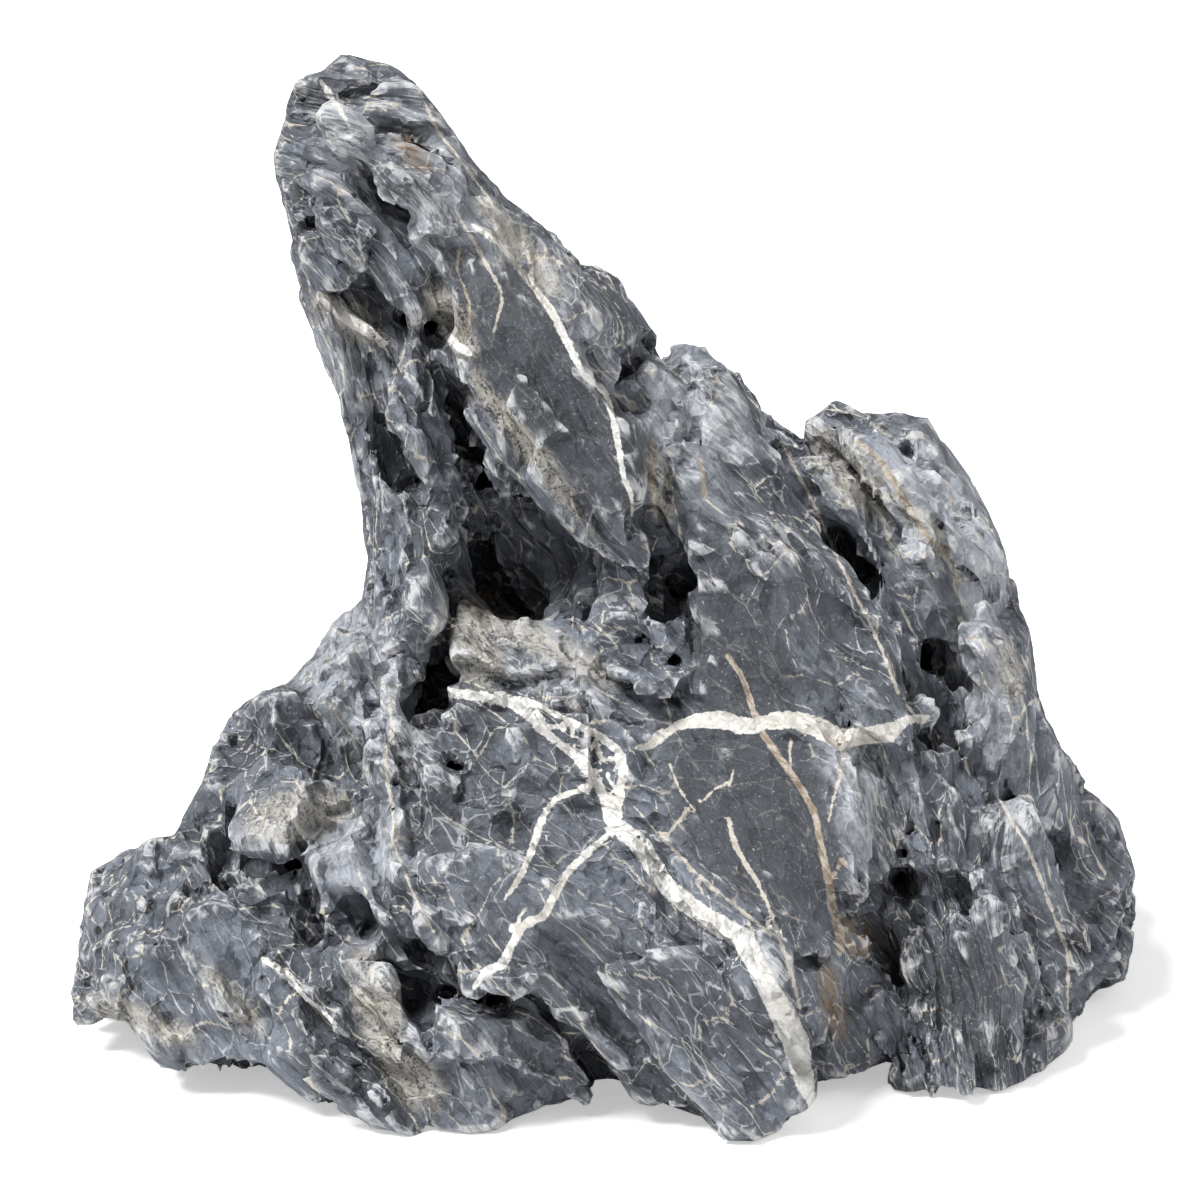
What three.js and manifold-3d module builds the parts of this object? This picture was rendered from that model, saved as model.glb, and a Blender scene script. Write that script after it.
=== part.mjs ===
import * as THREE from "three";
import { ConvexGeometry } from "three/addons/geometries/ConvexGeometry.js";
import { mergeVertices } from "three/addons/utils/BufferGeometryUtils.js";
import Module from "manifold-3d";

// A seiryu stone: one natural lump of hard, dark, laminated limestone that stands on its own
// flat patches. Millimetres, +Z up, the broad weathered face towards -Y. The stone is put
// together from angular masses, hollowed, and then weathered, so it stays a single solid.

const wasm = await Module();
wasm.setup();

// ---- driving dimensions

const STONE_HEIGHT = 238; // ground to the tip of the spire; the corner lists below are at this size
const SCALE = STONE_HEIGHT / 238;

const FINE_SIDE = 7.9; // wanted triangle side on the weathered face
const COARSE_SIDE = 12.8; // wanted triangle side on the plain back
const COARSE_FROM = 10; // where the coarse side starts to take over, along +Y
const COARSE_FULL = 55;

const LUMP_SIZE = 34; // spacing of the broad lumps and bowls
const SCALLOP_SIZE = 17; // spacing of the small scallops
const GRAIN_STRETCH = 1.9; // both are this much longer along the lamination
const GRAIN_LEAN = 0.6; // the lamination leans this far from upright, its top towards -X, in radians
const LUMP_DEPTH = 2.4;
const BOWL_DEPTH = 4.4;
const SCALLOP_DEPTH = 2.8;
const GRIT_DEPTH = 0.8;
const GRIT_SIZE = 9;
const BACK_BOOST = 1.5; // the back is worn more than the front is
const FRESH_WEAR = 0.3; // how much of the wear reaches the freshly cleaved faces
const FLOOR_MARGIN = 1; // the feet run this far below the ground before they are cut flat

// ---- the masses, each the hull of its own corners

// The spire leans out to the left over the cave; its front is one broad cleaved plate.
const SPIRE = {
  tip: [
    [-61, 0, 238], [-66, -6, 234], [-72, -2, 232], [-74, -6, 224], [-78, -6, 216], [-74, -10, 209],
    [-54, -22, 219], [-47, -24, 214], [-35, -10, 219], [-44, -6, 231], [-31, -8, 210], [-64, 18, 234],
    [-74, 22, 226], [-77, 28, 212], [-75, 34, 201], [-40, 26, 215], [-30, 34, 198], [-49, 16, 229],
  ],
  neck: [
    [-78, -6, 216], [-74, -8, 208], [-73, -8, 194], [-71, -8, 180], [-52, -20, 218], [-40, -30, 187],
    [-35, -10, 219], [-13, -6, 198], [-6, -4, 190], [-10, -24, 183], [-33, -28, 200], [-76, 34, 206],
    [-75, 46, 171], [-30, 36, 201], [-15, 42, 187], [-4, 40, 178], [-3, 50, 162], [-47, 50, 162],
  ],
  plate: [
    [-48, -26, 207], [-41, -31, 193], [-38, -34, 173], [-28, -37, 163], [-14, -40, 149], [0, -43, 138],
    [9, -42, 133], [8, -32, 161], [0, -26, 173], [-9, -25, 184], [-24, -28, 196], [-38, -22, 163],
    [-32, -16, 147], [-21, -12, 134], [0, -14, 121], [-43, 20, 175], [-10, 25, 174], [10, 20, 150],
    [10, 0, 124],
  ],
  shoulder: [
    [-6, -4, 190], [3, 4, 186], [12, 6, 170], [16, 8, 164], [10, -12, 157], [0, -22, 172],
    [-10, -22, 183], [-3, 30, 183], [4, 32, 180], [13, 40, 163], [17, 44, 155], [-10, 50, 162],
    [10, 50, 138],
  ],
  rim: [
    [-50, -4, 235], [-43, -8, 231], [-31, -12, 212], [-28, -12, 207], [-34, -19, 215], [-46, -15, 225],
    [-44, 10, 227], [-32, 10, 208],
  ],
  brow: [
    [-61, -2, 238], [-65, -9, 234], [-64, -18, 230], [-54, -20, 224], [-46, -17, 223], [-43, -9, 230],
    [-55, -6, 236], [-63, 8, 234], [-49, 8, 227], [-60, 0, 222],
  ],
  browRib: [
    [-65, -22, 228], [-58, -25, 226], [-53, -27, 221], [-59, -24, 220], [-65, -8, 226], [-55, -8, 219],
    [-62, -8, 217],
  ],
  upperStrand: [
    [-53, -28, 220], [-47, -31, 215], [-37, -34, 208], [-29, -34, 199], [-32, -36, 197],
    [-46, -35, 198], [-48, -31, 208], [-48, -15, 213], [-31, -16, 196], [-48, -16, 196],
  ],
  middleStrand: [
    [-48, -24, 219], [-40, -26, 215], [-28, -30, 203], [-19, -32, 194], [-11, -33, 183],
    [-9, -33, 173], [-21, -35, 194], [-40, -30, 208], [-29, -10, 200], [-12, -12, 179],
  ],
  sideStrand: [
    [-35, -16, 218], [-24, -16, 205], [-13, -20, 195], [-6, -24, 183], [0, -28, 173], [-2, -31, 173],
    [-19, -27, 193], [-28, -24, 204], [-24, 0, 201], [-2, -6, 173],
  ],
  lowerStrand: [
    [-10, -33, 185], [-5, -34, 177], [0, -36, 168], [4, -37, 162], [6, -41, 148], [7, -43, 139],
    [-1, -40, 158], [-10, -36, 178], [0, -20, 163], [6, -26, 140], [-7, -20, 178],
  ],
  plateEdge: [
    [-37, -35, 172], [-31, -37, 168], [-24, -39, 161], [-14, -41, 151], [-7, -43, 143], [0, -45, 139],
    [-14, -36, 145], [-33, -30, 163], [-24, -20, 153], [-5, -24, 134], [-36, -18, 165],
  ],
  plateEdgeLower: [
    [-37, -30, 168], [-31, -32, 161], [-24, -34, 151], [-17, -32, 141], [-26, -26, 142],
    [-36, -26, 161], [-32, -12, 154], [-20, -14, 137],
  ],
  plateStrand: [
    [-24, -30, 153], [-17, -33, 144], [-6, -36, 132], [0, -37, 128], [2, -37, 123], [-8, -30, 130],
    [-17, -12, 137], [-2, -16, 122],
  ],
  tongue: [
    [-6, -38, 138], [0, -44, 138], [5, -43, 134], [9, -42, 132], [12, -36, 131], [10, -40, 124],
    [5, -40, 127], [5, -20, 128], [10, -22, 121],
  ],
  behind: [
    [-51, 0, 172], [-37, 4, 171], [-25, 6, 153], [-10, 6, 132], [0, 4, 123], [-26, 24, 118],
    [-43, 24, 139], [-53, 20, 155], [-26, 50, 149], [-5, 50, 117], [-47, 50, 144],
  ],
};

// The thin blade and leg that carry the spire on the left of the cave.
const LEG = {
  blade: [
    [-71, -6, 181], [-66, -8, 162], [-60, -8, 146], [-61, -6, 138], [-59, -6, 130], [-57, -4, 114],
    [-65, -12, 184], [-48, -18, 191], [-40, -24, 174], [-39, -26, 163], [-48, -24, 142],
    [-50, -24, 119], [-74, 40, 172], [-66, 42, 145], [-59, 44, 102], [-41, 46, 163], [-42, 40, 103],
  ],
  nose: [
    [-78, -8, 217], [-73, -10, 223], [-66, -18, 223], [-60, -20, 218], [-59, -20, 210],
    [-66, -20, 205], [-76, -9, 211], [-76, 10, 214], [-64, 10, 214], [-71, 10, 202],
  ],
  innerRib: [
    [-72, -14, 208], [-66, -22, 206], [-57, -24, 195], [-47, -26, 186], [-42, -28, 176],
    [-59, -20, 192], [-72, -14, 203], [-63, 0, 194], [-49, -4, 180],
  ],
  outerRib: [
    [-73, -12, 202], [-66, -17, 192], [-60, -20, 183], [-54, -22, 179], [-65, -15, 184],
    [-72, -10, 198], [-69, 6, 188], [-59, 4, 176],
  ],
  crust: [
    [-71, -9, 183], [-65, -14, 184], [-59, -20, 180], [-48, -27, 175], [-56, -22, 173],
    [-68, -12, 172], [-71, -8, 177], [-67, 6, 175], [-54, -4, 170],
  ],
  plate: [
    [-51, -20, 172], [-38, -28, 171], [-40, -30, 161], [-35, -31, 148], [-34, -32, 139],
    [-42, -30, 143], [-52, -24, 158], [-52, -4, 169], [-39, -6, 167], [-36, -18, 140], [-49, -12, 149],
  ],
  flake: [
    [-46, -28, 154], [-43, -31, 153], [-35, -33, 146], [-34, -34, 139], [-37, -34, 138],
    [-44, -30, 147], [-41, -16, 145], [-37, -18, 138],
  ],
  foot: [
    [-59, -6, 135], [-56, -6, 115], [-58, -8, 105], [-43, -26, 137], [-36, -30, 136], [-32, -30, 133],
    [-42, -33, 121], [-48, -32, 112], [-48, -36, 90], [-47, -40, 84], [-57, -14, 107], [-61, 40, 119],
    [-60, 44, 91], [-37, 0, 129], [-43, 5, 96], [-46, 5, 75],
  ],
  outerFlute: [
    [-60, -16, 170], [-55, -20, 158], [-51, -24, 147], [-48, -27, 135], [-46, -30, 121],
    [-49, -30, 111], [-55, -19, 133], [-62, -10, 154], [-57, 6, 148], [-51, 2, 123],
  ],
  innerFlute: [
    [-47, -27, 143], [-44, -30, 138], [-36, -33, 132], [-39, -35, 127], [-43, -36, 123],
    [-44, -36, 115], [-47, -31, 121], [-44, -8, 131], [-44, -8, 115],
  ],
  filling: [
    [-51, -6, 138], [-45, 4, 138], [-35, 14, 133], [-30, 8, 111], [-32, -10, 101], [-41, -30, 86],
    [-48, -32, 89], [-54, -26, 100], [-36, 40, 119], [-31, 40, 87], [-52, 30, 95], [-43, 0, 77],
  ],
  back: [
    [-43, 15, 141], [-30, 18, 145], [-25, 14, 110], [-30, 10, 90], [-45, 5, 91], [-43, 0, 77],
    [-44, 48, 133], [-26, 50, 133], [-27, 50, 79], [-48, 50, 62],
  ],
  root: [
    [-51, -26, 97], [-34, -22, 99], [-34, -34, 82], [-48, -36, 80], [-51, 10, 85], [-36, 10, 87],
    [-35, 0, 72], [-50, 0, 72],
  ],
};

// The left side steps down from the leg to a low lobe that hangs just clear of the ground.
const LEFT_SIDE = {
  shoulder: [
    [-58, -6, 107], [-69, -10, 90], [-83, -18, 83], [-89, -20, 82], [-93, -26, 72], [-96, -30, 63],
    [-84, -44, 67], [-67, -46, 66], [-51, -46, 82], [-50, -32, 102], [-47, -28, 107], [-61, 46, 93],
    [-74, 50, 74], [-89, 44, 64], [-99, 40, 53], [-106, 35, 39], [-54, 55, 61], [-54, 55, 32],
    [-98, 30, 24],
  ],
  shoulderRidge: [
    [-47, -34, 109], [-44, -34, 116], [-48, -40, 99], [-54, -54, 76], [-61, -56, 69], [-65, -50, 69],
    [-60, -48, 80], [-53, -40, 94], [-51, -20, 74], [-62, -20, 57], [-49, -10, 101],
  ],
  upperSlab: [
    [-83, -22, 83], [-74, -22, 86], [-67, -22, 92], [-66, -30, 86], [-65, -38, 77], [-67, -46, 68],
    [-77, -48, 69], [-87, -42, 69], [-91, -32, 74], [-81, 0, 66], [-70, -6, 68],
  ],
  innerSlab: [
    [-66, -20, 93], [-61, -20, 98], [-54, -28, 98], [-52, -38, 91], [-55, -44, 83], [-61, -44, 79],
    [-66, -28, 88], [-62, 0, 80],
  ],
  outerLedge: [
    [-99, -26, 62], [-94, -32, 76], [-90, -38, 74], [-84, -46, 58], [-94, -44, 54], [-100, -10, 62],
    [-96, 0, 72], [-80, -20, 60],
  ],
  middleLedge: [
    [-88, -22, 84], [-80, -24, 90], [-72, -30, 92], [-68, -38, 84], [-76, -40, 78], [-88, -34, 78],
    [-86, 6, 82], [-72, 0, 88],
  ],
  backLedge: [
    [-90, 14, 70], [-78, 20, 84], [-66, 26, 98], [-58, 20, 104], [-60, -4, 104], [-74, 0, 92],
    [-92, 4, 68], [-70, 36, 88], [-66, 10, 70],
  ],
  step: [
    [-96, -30, 65], [-103, -38, 53], [-84, -46, 67], [-64, -52, 70], [-52, -58, 76], [-49, -62, 58],
    [-64, -62, 56], [-84, -54, 56], [-96, -50, 52], [-104, 20, 47], [-109, 15, 35], [-57, 20, 49],
    [-57, 20, 27],
  ],
  crumblyStep: [
    [-96, -40, 64], [-84, -50, 68], [-71, -56, 70], [-63, -60, 69], [-65, -66, 60], [-83, -58, 61],
    [-95, -50, 58], [-102, -42, 54], [-87, -20, 52], [-71, -30, 53],
  ],
  lobe: [
    [-103, -38, 53], [-118, -34, 49], [-124, -34, 43], [-126, -42, 28], [-129, -50, 20],
    [-126, -56, 15], [-112, -64, 12], [-87, -72, 10], [-117, -62, 40], [-94, -74, 35], [-82, -74, 41],
    [-71, -66, 47], [-74, -58, 54], [-64, -72, 34], [-84, -50, 56], [-115, 0, 37], [-128, 4, 28],
    [-132, -4, 11], [-131, -14, 2], [-93, 0, -6], [-70, 10, 31],
  ],
  lobeTop: [
    [-109, -40, 53], [-102, -42, 54], [-89, -52, 56], [-86, -58, 52], [-95, -58, 49], [-108, -52, 47],
    [-118, -42, 47], [-106, -10, 38],
  ],
  lobeMiddle: [
    [-121, -48, 46], [-107, -58, 48], [-92, -66, 50], [-82, -70, 47], [-80, -76, 43],
    [-106, -68, 44], [-120, -56, 39], [-125, -46, 38], [-112, -20, 31], [-91, -30, 32],
  ],
  lobeEnd: [
    [-128, -50, 27], [-125, -50, 31], [-116, -64, 37], [-115, -70, 27], [-119, -66, 17],
    [-128, -54, 23], [-124, -30, 16],
  ],
  lobeLip: [
    [-114, -64, 41], [-117, -66, 36], [-116, -68, 27], [-103, -72, 16], [-85, -76, 12], [-79, -80, 15],
    [-85, -84, 32], [-103, -72, 42], [-113, -60, 10], [-87, -58, 3], [-88, -40, 22],
  ],
  buttress: [
    [-71, -62, 55], [-68, -68, 55], [-65, -78, 43], [-59, -82, 40], [-50, -82, 49], [-49, -70, 61],
    [-44, -80, 52], [-46, -84, 39], [-37, -88, 31], [-62, -60, 65], [-50, -60, 78], [-74, -30, 42],
    [-40, -30, 34], [-40, -30, 8],
  ],
};

// The ribs and the foot at the front left, which touch the ground.
const FRONT_LEFT = {
  ridge: [
    [-82, -74, 42], [-70, -80, 41], [-59, -84, 40], [-47, -88, 31], [-39, -92, 22], [-37, -96, 15],
    [-46, -92, 4], [-39, -95, 2], [-63, -86, 7], [-79, -80, 13], [-85, -76, 26], [-69, -88, 33],
    [-58, -94, 21], [-89, -40, 1], [-67, -40, -9], [-42, -50, -13], [-61, -40, 38], [-42, -40, 22],
  ],
  outerRib: [
    [-84, -80, 39], [-78, -84, 43], [-74, -88, 41], [-67, -97, 27], [-60, -99, 17], [-51, -98, 9],
    [-69, -92, 15], [-84, -84, 32], [-72, -60, 15],
  ],
  middleRib: [
    [-77, -84, 43], [-69, -88, 42], [-60, -94, 37], [-53, -99, 28], [-46, -101, 16], [-41, -100, 8],
    [-57, -96, 26], [-76, -88, 39], [-60, -60, 15],
  ],
  innerRib: [
    [-59, -88, 42], [-53, -88, 42], [-48, -93, 33], [-40, -97, 23], [-37, -101, 16], [-40, -101, 10],
    [-53, -98, 25], [-58, -93, 33], [-50, -60, 15],
  ],
  foot: [
    [-39, -90, 28], [-35, -92, 32], [-16, -92, 30], [-6, -91, 22], [0, -90, 10], [3, -84, 3],
    [-13, -90, 2], [-21, -98, 1], [-39, -95, 2], [-46, -92, 4], [-37, -98, 20], [-30, -102, 15],
    [-39, -50, 11], [0, -50, -5], [-44, -50, -10], [-29, -50, -17],
  ],
};

// The big rounded boulder in the middle of the front.
const BOULDER = {
  body: [
    [-50, -52, 84], [-45, -52, 87], [-36, -44, 92], [-19, -44, 91], [-10, -50, 89], [1, -58, 84],
    [3, -70, 76], [9, -80, 65], [19, -88, 54], [34, -94, 48], [42, -98, 37], [49, -98, 22],
    [47, -90, 4], [38, -95, 1], [15, -92, 4], [4, -93, 25], [-7, -94, 31], [-28, -90, 33],
    [-37, -80, 52], [-46, -70, 61], [-18, -94, 48], [-35, -62, 76], [9, -98, 39], [-52, 20, 60],
    [0, 20, 60], [-51, 0, 10], [49, -40, -9], [0, -40, -15], [-41, 0, -4],
  ],
  crown: [
    [-49, -50, 86], [-43, -47, 89], [-36, -46, 93], [-19, -46, 93], [-12, -50, 90], [1, -60, 84],
    [-2, -62, 83], [-24, -56, 89], [-45, -56, 87], [-50, -54, 83], [-37, -20, 83], [0, -30, 76],
  ],
  leftRib: [
    [-50, -54, 84], [-49, -60, 76], [-49, -68, 65], [-46, -75, 58], [-39, -85, 49], [-36, -88, 43],
    [-39, -80, 57], [-45, -68, 73], [-49, -30, 60], [-39, -40, 33],
  ],
  shoulder: [
    [-39, -80, 60], [-36, -80, 65], [-25, -86, 67], [-14, -92, 64], [0, -96, 57], [11, -99, 47],
    [-9, -99, 45], [-25, -93, 39], [-33, -88, 43], [-24, -50, 47], [0, -60, 35],
  ],
  chin: [
    [0, -99, 45], [9, -101, 47], [23, -100, 49], [31, -99, 47], [41, -101, 33], [46, -100, 21],
    [44, -94, 6], [35, -97, 1], [15, -95, 6], [5, -97, 26], [24, -60, 20], [24, -60, -1],
  ],
  jowl: [
    [-29, -94, 37], [-18, -97, 43], [-9, -99, 43], [0, -98, 35], [4, -97, 27], [-9, -95, 31],
    [-24, -93, 34], [-19, -60, 25], [0, -66, 20],
  ],
  leftFold: [
    [-52, -56, 66], [-44, -66, 66], [-38, -76, 52], [-33, -82, 36], [-38, -84, 20], [-48, -76, 24],
    [-54, -66, 44], [-46, -30, 60], [-40, -30, 20],
  ],
  crest: [
    [2, -73, 77], [6, -73, 77], [13, -84, 66], [23, -93, 56], [39, -100, 47], [45, -103, 34],
    [49, -101, 22], [48, -93, 6], [34, -99, 47], [9, -83, 64], [24, -60, 43], [45, -70, 19],
  ],
};

// Right of the boulder a flat dark face drops from the long central ridge.
const RIDGE = {
  darkFace: [
    [1, -58, 84], [9, -54, 85], [21, -52, 87], [48, -50, 83], [72, -40, 80], [73, -44, 65],
    [73, -50, 52], [64, -62, 30], [58, -76, 16], [50, -86, 14], [42, -98, 37], [34, -93, 48],
    [19, -87, 54], [3, -69, 76], [5, 20, 59], [78, 20, 55], [77, 0, 32], [65, -20, 4], [54, -40, -4],
    [10, 0, 24],
  ],
  darkLip: [
    [52, -74, 36], [64, -66, 32], [59, -76, 26], [58, -80, 18], [52, -84, 15], [49, -86, 30],
    [44, -88, 42], [58, -50, 26], [58, -60, 7], [48, -70, 11],
  ],
  body: [
    [25, -6, 162], [34, -8, 153], [46, -22, 131], [60, -31, 111], [72, -38, 87], [74, -43, 65],
    [22, -12, 157], [20, -28, 134], [35, -34, 132], [35, -38, 123], [33, -44, 105], [21, -52, 86],
    [48, -50, 83], [25, 20, 155], [48, 14, 136], [58, 8, 116], [75, 0, 93], [82, -5, 73],
    [26, 10, 65], [77, 10, 47],
  ],
  folds: [
    [10, -10, 164], [14, -8, 167], [25, -8, 159], [20, -26, 135], [27, -42, 104], [25, -44, 98],
    [13, -28, 130], [10, -34, 131], [7, -20, 158], [13, 20, 160], [25, 24, 154], [10, 10, 126],
    [25, 5, 89],
  ],
  leftFold: [
    [2, -36, 165], [5, -37, 164], [7, -40, 155], [8, -43, 146], [8, -45, 137], [3, -45, 139],
    [1, -38, 162], [5, -20, 151], [6, -26, 135],
  ],
  middleFold: [
    [11, -14, 164], [15, -18, 161], [16, -24, 152], [16, -30, 141], [15, -36, 132], [12, -36, 131],
    [10, -16, 161], [14, 0, 146], [15, -8, 131],
  ],
  rightFold: [
    [19, -20, 153], [22, -24, 152], [22, -31, 141], [24, -40, 121], [27, -45, 110], [20, -32, 122],
    [18, -22, 144], [22, -6, 135], [25, -14, 112],
  ],
  knob: [
    [21, -16, 157], [24, -10, 162], [29, -8, 162], [33, -12, 155], [35, -19, 147], [27, -26, 146],
    [20, -26, 142], [27, 6, 150], [30, 4, 143],
  ],
  face: [
    [20, -30, 135], [25, -30, 138], [32, -34, 137], [34, -42, 124], [34, -46, 115], [26, -48, 99],
    [24, -44, 105], [20, -32, 125], [30, -10, 116], [27, -20, 98],
  ],
  bench: [
    [32, -32, 133], [39, -34, 131], [48, -33, 125], [55, -33, 121], [51, -37, 118], [35, -40, 121],
    [33, -36, 126], [44, -10, 121], [54, -14, 117],
  ],
  apron: [
    [62, -34, 107], [68, -38, 98], [72, -41, 89], [74, -50, 59], [72, -54, 53], [65, -58, 52],
    [60, -50, 82], [59, -40, 99], [70, -10, 80], [72, -20, 47],
  ],
  rearCrest: [
    [16, 14, 163], [22, 16, 166], [26, 16, 164], [34, 18, 159], [42, 20, 146], [51, 22, 134],
    [57, 12, 118], [26, 0, 161], [35, -4, 152], [49, -10, 131], [18, 50, 155], [26, 54, 157],
    [42, 58, 142], [56, 60, 123], [61, 60, 98], [27, 60, 98],
  ],
  saddle: [
    [-36, -44, 93], [-36, -26, 109], [-39, -22, 113], [-30, -12, 109], [-20, -4, 104], [5, -6, 92],
    [15, -30, 91], [21, -50, 86], [9, -54, 85], [1, -58, 84], [-10, -50, 89], [-19, -46, 92],
    [12, -34, 93], [-42, 40, 87], [26, 30, 84], [-41, 20, 60], [26, 20, 60],
  ],
  caveWall: [
    [-30, 16, 143], [-20, 8, 134], [-5, 6, 122], [10, 4, 117], [25, 6, 101], [25, 10, 79],
    [-25, 12, 89], [-31, 18, 109], [-31, 55, 134], [11, 58, 134], [27, 60, 98], [27, 60, 59],
    [-32, 60, 59],
  ],
};

// A second, lower peak stands behind on the right, leafed by its lamination.
const RIGHT_PEAK = {
  body: [
    [51, 16, 138], [53, 18, 144], [62, 22, 149], [71, 26, 144], [83, 28, 142], [93, 24, 128],
    [101, 14, 113], [102, 10, 108], [55, 8, 122], [70, -4, 104], [82, 0, 113], [75, 8, 127],
    [90, 2, 106], [76, -8, 92], [81, -12, 80], [55, 50, 133], [60, 54, 139], [79, 62, 136],
    [96, 66, 118], [107, 60, 98], [108, 50, 90], [81, 60, 59], [58, 50, 101],
  ],
  root: [
    [42, 10, 144], [50, 4, 140], [62, -4, 130], [69, -10, 116], [77, -20, 94], [73, -28, 88],
    [58, -24, 109], [49, -20, 123], [43, -12, 134], [44, 50, 136], [68, 50, 117], [79, 30, 84],
    [61, 10, 95],
  ],
  leftLeaf: [
    [58, 16, 149], [62, 18, 149], [66, 12, 144], [72, 4, 135], [79, -2, 127], [87, -12, 110],
    [84, -12, 111], [67, 4, 135], [69, 30, 132], [83, 10, 113],
  ],
  rightLeaf: [
    [75, 24, 145], [82, 22, 142], [90, 18, 132], [95, 12, 121], [99, 8, 114], [97, 0, 108],
    [91, -4, 114], [83, 0, 126], [72, 16, 143], [88, 40, 127], [99, 20, 108],
  ],
  lowLeaf: [
    [57, 6, 135], [62, 2, 133], [66, -4, 125], [70, -12, 111], [76, -18, 95], [71, -20, 98],
    [60, -4, 117], [66, 20, 113], [76, 4, 94],
  ],
  lump: [
    [69, -2, 124], [75, -6, 125], [82, -12, 120], [85, -14, 112], [81, -16, 107], [74, -16, 110],
    [78, 14, 112], [83, 6, 104],
  ],
  waist: [
    [75, -12, 93], [82, -4, 104], [80, -24, 74], [74, -38, 79], [90, 0, 93], [102, 10, 69],
    [74, -40, 64], [79, 40, 81], [106, 45, 64], [106, 40, 37], [79, 30, 41],
  ],
  holeRim: [
    [90, -8, 106], [93, -10, 109], [96, -14, 107], [94, -20, 98], [92, -23, 89], [98, -20, 82],
    [102, -14, 84], [104, -10, 93], [102, 14, 89], [102, 8, 77],
  ],
  holeLeftRim: [
    [75, -20, 98], [79, -22, 99], [81, -24, 94], [79, -32, 77], [74, -38, 79], [73, -26, 95],
    [79, -6, 81],
  ],
};

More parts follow.
